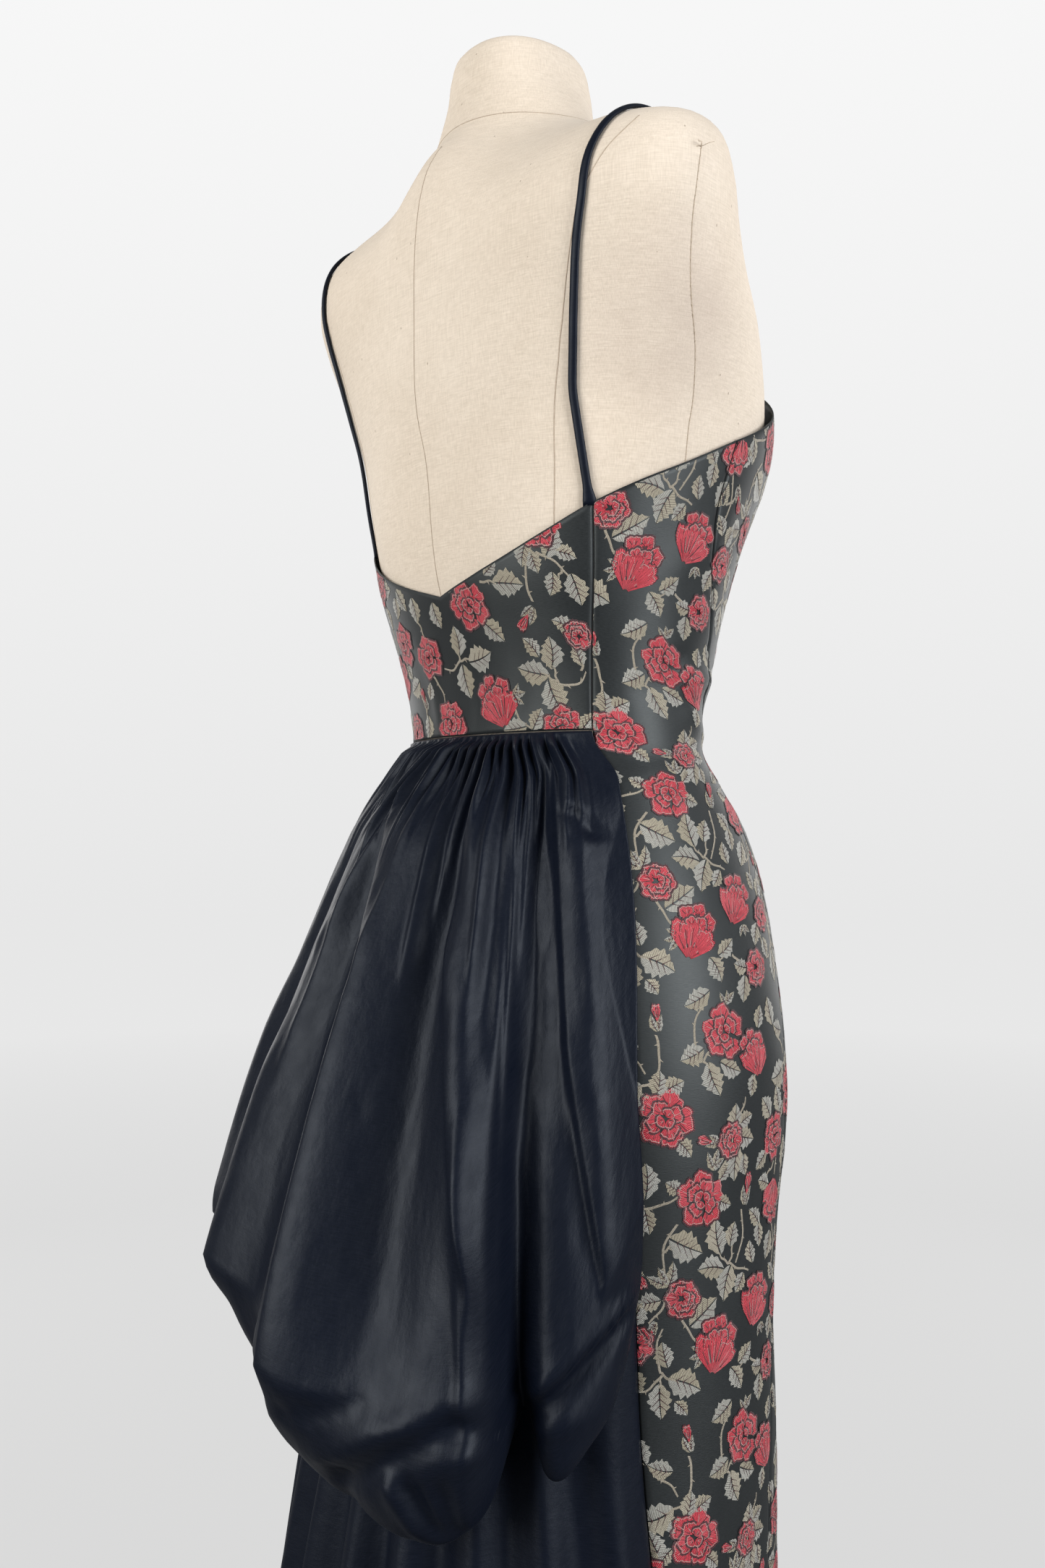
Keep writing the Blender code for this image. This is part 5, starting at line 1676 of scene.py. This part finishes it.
def pattern_threads():
    """The six threads of the woven motifs, in the order of their slots."""
    return [
        thread("rose_red", (0.14, 0.003, 0.009), (0.44, 0.008, 0.026), (0.62, 0.060, 0.085), 0.36),
        thread("rose_dark", (0.008, 0.006, 0.008), (0.030, 0.008, 0.012), (0.08, 0.014, 0.020), 0.5),
        thread("rose_line", (0.16, 0.040, 0.046), (0.44, 0.19, 0.19), (0.58, 0.36, 0.33), 0.6),
        thread("leaf_gold", (0.045, 0.040, 0.026), (0.19, 0.160, 0.104), (0.52, 0.475, 0.365), 0.42, 0.5),
        thread("leaf_silver", (0.040, 0.042, 0.038), (0.175, 0.175, 0.150), (0.54, 0.53, 0.475), 0.42, 0.5),
        thread("stalk_beige", (0.080, 0.066, 0.048), (0.29, 0.25, 0.185), (0.48, 0.43, 0.34), 0.6, 0.5),
    ]


def taffeta_finish():
    """Blue-black taffeta: crisp, with a cold sheen and a faint cross rib."""
    made, tree, shader = new_finish(
        "taffeta_black",
        (0.003, 0.005, 0.011),
        0.46,
        Specular_IOR_Level=0.18,
        Specular_Tint=(0.84, 0.91, 1.0, 1.0),
        Sheen_Weight=0.022,
        Sheen_Roughness=0.30,
        Sheen_Tint=(0.66, 0.70, 0.80, 1.0),
    )
    rib = waves(tree, (0.0, 1.0, 1.0), 0.9, 1.0)
    slub = noise(tree, (0.06, 1.6, 1.0), detail=3.0)
    crush = noise(tree, (0.030, 0.045, 1.0), detail=4.0, roughness=0.6)
    base = ramp(tree, slub, (0.3, (0.0012, 0.0028, 0.0075)), (0.7, (0.0040, 0.0058, 0.0125)))
    tree.links.new(base, shader.inputs["Base Color"])
    tree.links.new(ramp(tree, crush, (0.3, (0.41,) * 3), (0.7, (0.52,) * 3)), shader.inputs["Roughness"])
    bump(tree, shader, summed(tree, (rib, 0.05), (slub, 0.10), (crush, 1.6)), 0.0010, 0.4)
    return made


SMUDGE = (-0.176, 0.052, 1.315)  # middle of the worn place on the right shoulder cap


def linen_finish():
    """Unbleached linen: warm beige, a fine weave with slubs, flecks and a worn smudge on the cap."""
    made, tree, shader = new_finish("form_linen", (0.62, 0.53, 0.43), 0.88, Sheen_Weight=0.08)
    warp = noise(tree, (1400, 1400, 90), "Object", 2.0)
    weft = noise(tree, (120, 120, 1500), "Object", 2.0)
    cloudy = noise(tree, (9, 9, 7), "Object", 4.0)
    weave = summed(tree, (warp, 0.5), (weft, 0.5))
    cloth = ramp(tree, weave, (0.32, (0.50, 0.425, 0.340)), (0.66, (0.70, 0.615, 0.515)))
    old = ramp(tree, cloudy, (0.30, (0.55, 0.465, 0.37)), (0.72, (0.72, 0.64, 0.545)))
    aged = blended(tree, 0.35, cloth, old)
    fleck = add(tree, "TexVoronoi", {"Vector": mapped(tree, (70, 70, 50), "Object"), "Scale": 1.0})
    speck = add(tree, "Math", {0: fleck.outputs["Distance"], 1: 0.045}, operation="LESS_THAN").outputs[0]
    flecked = blended(tree, summed(tree, (speck, 0.55)), aged, (0.22, 0.16, 0.11))
    where = add(tree, "TexCoord").outputs["Object"]
    away = add(tree, "VectorMath", {0: where, 1: SMUDGE}, operation="DISTANCE").outputs["Value"]
    fading = {"Value": away, "From Min": 0.075, "From Max": 0.012, "To Max": 0.42}
    near = add(tree, "MapRange", fading).outputs["Result"]
    patches = noise(tree, (30, 30, 22), "Object", 3.0)
    patchy = add(tree, "Math", {0: near, 1: patches}, operation="MULTIPLY").outputs[0]
    tree.links.new(blended(tree, patchy, flecked, (0.29, 0.20, 0.18)), shader.inputs["Base Color"])
    bump(tree, shader, summed(tree, (weave, 1.0), (cloudy, 0.6)), 0.0004, 0.5)
    return made


def plain_cloth(name, dark, light):
    """A matt thread, or the painted shade of a seam's fold, uneven in tone."""
    made, tree, shader = new_finish(name, light, 0.85)
    uneven = noise(tree, (700, 700, 700), "Object", 2.0)
    tree.links.new(ramp(tree, uneven, (0.3, dark), (0.7, light)), shader.inputs["Base Color"])
    bump(tree, shader, uneven, 0.0002, 0.4)
    return made


def steel_finish():
    """Satin black powder coat over steel, with a fine orange-peel surface and faint scuffs."""
    colour = (0.030, 0.030, 0.033)
    made, tree, shader = new_finish("stand_steel", colour, 0.42, Metallic=0.25, Coat_Weight=0.15)
    peel = noise(tree, (900, 900, 900), "Object", 2.0)
    scuff = noise(tree, (14, 14, 160), "Object", 4.0)
    tree.links.new(ramp(tree, scuff, (0.45, (0.36,) * 3), (0.75, (0.56,) * 3)), shader.inputs["Roughness"])
    rubbed = ramp(tree, scuff, (0.4, (0.022, 0.022, 0.025)), (0.8, (0.050, 0.050, 0.054)))
    tree.links.new(rubbed, shader.inputs["Base Color"])
    bump(tree, shader, peel, 0.0001, 0.4)
    return made


# Camera: where the photograph was taken from, worked out from the form's proportions
CAMERA_TURN = 46.9  # degrees from the back towards the wearer's right
CAMERA_AWAY = 0.983
CAMERA_BELOW_WAIST = 0.060
CAMERA_PITCH = 1.66
CAMERA_YAW = -1.18
FOCAL_PIXELS = 1891.0
FRAME_PIXELS = 2168.0
SENSOR = 36.0


def camera():
    """The camera, and the level directions ahead of it and to its right."""
    theta, pitch, yaw = (math.radians(a) for a in (CAMERA_TURN, CAMERA_PITCH, CAMERA_YAW))
    forward = Vector((math.sin(theta), -math.cos(theta), 0))
    right = Vector((-math.cos(theta), -math.sin(theta), 0))
    up = Vector((0, 0, 1))
    look = forward * math.cos(yaw) + right * math.sin(yaw)
    side = right * math.cos(yaw) - forward * math.sin(yaw)
    ahead = look * math.cos(pitch) + up * math.sin(pitch)
    top = up * math.cos(pitch) - look * math.sin(pitch)
    data = bpy.data.cameras.new("camera")
    data.sensor_width = SENSOR
    data.lens = FOCAL_PIXELS / FRAME_PIXELS * SENSOR
    data.clip_start = 0.05
    made = bpy.data.objects.new("camera", data)
    made.matrix_world = Matrix((side, top, -ahead)).transposed().to_4x4()
    made.matrix_world.translation = -forward * CAMERA_AWAY + up * (WAIST_Z - CAMERA_BELOW_WAIST)
    bpy.context.scene.collection.objects.link(made)
    bpy.context.scene.camera = made
    return forward, right


# Studio: floor and backdrop glow by themselves and light nothing; the glow is painted light, dimmer near the
# stand and towards the backdrop's foot
SKY = 0.20  # light from all round
SKY_COLOUR = (0.97, 0.97, 0.96, 1.0)
FLOOR_RADIUS = 16.0
FLOOR_REACH = 15.0
FLOOR_NEAR = 0.61  # the floor's glow under the stand
FLOOR_FAR = 0.788  # and from FLOOR_SHARE of its reach on, where the sky adds the rest
FLOOR_SHARE = 0.4
DOME_RADIUS = 15.5
DOME_REACH = 9.0
PAPER_FOOT = 0.80  # how bright the backdrop's painted glow is where it meets the floor
PAPER_TOP = 0.93  # and high up
LAMP_SIZE = (1.5, 2.0)
Lamp = namedtuple("Lamp", "name ahead right up power colour")
# Large soft lamps round the gown, as seen from the camera, and up from the waist
LAMPS = [
    Lamp("window", -1.5, -1.9, 0.55, 70.0, (1.0, 0.985, 0.96)),
    Lamp("fill", -1.5, 1.9, 0.45, 78.0, (0.98, 0.985, 1.0)),
    Lamp("front", 1.8, -1.6, 0.50, 20.0, (1.0, 0.99, 0.98)),
    Lamp("front", 1.8, 1.6, 0.50, 20.0, (1.0, 0.99, 0.98)),
]


def area_light(lamp, forward, right):
    """A lamp that looks at the waist and doesn't show itself."""
    data = bpy.data.lights.new(lamp.name, "AREA")
    data.shape = "RECTANGLE"
    data.size, data.size_y = LAMP_SIZE
    data.energy = lamp.power
    data.color = lamp.colour
    made = bpy.data.objects.new(lamp.name, data)
    made.location = forward * lamp.ahead + right * lamp.right + Vector((0, 0, WAIST_Z + lamp.up))
    aim = Vector((0, 0, WAIST_Z)) - made.location
    made.rotation_euler = aim.to_track_quat("-Z", "Y").to_euler()
    made.visible_camera = False
    bpy.context.scene.collection.objects.link(made)


def glowing(tree, shader, distance, reach, near, far, share):
    """A glow that goes from near to far while the distance goes to a share of its reach."""
    part = add(tree, "MapRange", {"Value": distance, "From Max": reach}).outputs["Result"]
    glow = ramp(tree, part, (0.0, (near,) * 3), (share, (far,) * 3))
    tree.links.new(glow, shader.inputs["Emission Color"])
    shader.inputs["Emission Strength"].default_value = 1.0


def staged(name, finish):
    """The piece made last, named, finished and set apart from the part."""
    made = bpy.context.object
    made.name = name
    made.data.materials.append(finish)
    made.data.shade_smooth()
    made.visible_diffuse = False
    made.visible_glossy = False
    made.visible_shadow = False


def studio(forward, right):
    """A pale floor and backdrop, light from all round and the lamps."""
    bpy.ops.mesh.primitive_circle_add(vertices=96, radius=FLOOR_RADIUS, fill_type="NGON")
    glowing_floor, tree, shader = new_finish("floor_paint_and_glow", (0.06, 0.06, 0.059), 0.9, Specular_IOR_Level=0.0)
    # the floor's glow is painted light, dimmer near the stand
    where = add(tree, "TexCoord").outputs["Object"]
    away = add(tree, "VectorMath", {0: where}, operation="LENGTH").outputs["Value"]
    glowing(tree, shader, away, FLOOR_REACH, FLOOR_NEAR, FLOOR_FAR, FLOOR_SHARE)
    staged("floor", glowing_floor)
    bpy.ops.mesh.primitive_uv_sphere_add(segments=64, ring_count=32, radius=DOME_RADIUS)
    glowing_backdrop, tree, shader = new_finish("backdrop_glow", (0.0, 0.0, 0.0), 1.0, Specular_IOR_Level=0.0)
    # the backdrop's glow is painted light, dimmer towards its foot
    where = add(tree, "TexCoord").outputs["Object"]
    height = add(tree, "SeparateXYZ", {"Vector": where}).outputs["Z"]
    glowing(tree, shader, height, DOME_REACH, PAPER_FOOT, PAPER_TOP, 1.0)
    staged("backdrop", glowing_backdrop)
    scene = bpy.context.scene
    scene.world = bpy.data.worlds.new("studio")
    scene.world.use_nodes = True
    sky = scene.world.node_tree.nodes["Background"]
    sky.inputs["Color"].default_value = SKY_COLOUR
    sky.inputs["Strength"].default_value = SKY
    for lamp in LAMPS:
        area_light(lamp, forward, right)
    scene.view_settings.view_transform = "Standard"
    scene.view_settings.look = "None"


# The brocade pieces: their node, how finely each is modelled, and its flat cut in metres
Panel = namedtuple("Panel", "name node columns rows width length area")
PANELS = [
    Panel("back", "bodice_back", 64, 34, 0.25, 0.15, 0.0258),
    Panel("side_right", "side_panel_right", 40, 300, 0.16, 1.23, 0.135),
    Panel("side_left", "side_panel_left", 30, 200, 0.16, 1.23, 0.135),
    Panel("front", "front_panel", 68, 200, 0.46, 1.30, 0.465),
]


def gown(satin, threads):
    """The four brocade pieces with their woven roses, drawn finer where the camera sees them."""
    near_chart = drawn(SKIRT_MOTIFS, SKIRT_STEMS)
    far_chart = drawn(SKIRT_MOTIFS, SKIRT_STEMS, coarse=True)
    bodice_chart = drawn(BODICE_MOTIFS, BODICE_STEMS)
    round_body = Measured(GRAIN_TURN, 50.0, 312.0)
    across_back = Measured(0.0, -80.0, 80.0)
    cells = [(column, row) for column in range(-1, 6) for row in range(-3, 3)]
    made = []
    for cut in PANELS:
        cloth = panel(cut.name, cut.columns, cut.rows, satin)
        if cut.name == "back":
            roses = woven(cut.name, bodice_chart, [(0, 0)], across_back, 0.0, False, threads)
        else:
            chart = near_chart if cut.name == "side_right" else far_chart
            roses = woven(cut.name, chart, cells, round_body, GRAIN_FOOT, True, threads)
        made.append((cut, cloth, roses))
    return made


def main():
    """Everything: the light, the form on its stand and the gown on the form."""
    forward, right = camera()
    studio(forward, right)
    satin, taffeta, linen = satin_ground(), taffeta_finish(), linen_finish()
    # the seams' darker colour is painted shade of their valleys
    seam = plain_cloth("seam_shadow", (0.36, 0.29, 0.22), (0.46, 0.38, 0.30))
    cotton = plain_cloth("stitch_thread", (0.44, 0.36, 0.27), (0.58, 0.49, 0.39))
    cover = form_cover(linen)
    tree = tree_of(cover)
    form_seams_and_shade(tree, seam, cotton)
    stand(steel_finish())
    pieces = gown(satin, pattern_threads())
    drape = bustle(taffeta)
    skirt = underskirt(taffeta)
    strap("strap_tube_right", "strap_right", 1, tree, taffeta)
    strap("strap_tube_left", "strap_left", -1, tree, taffeta)
    for cut, cloth, roses in pieces:
        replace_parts(cloth, cut.node)


main()
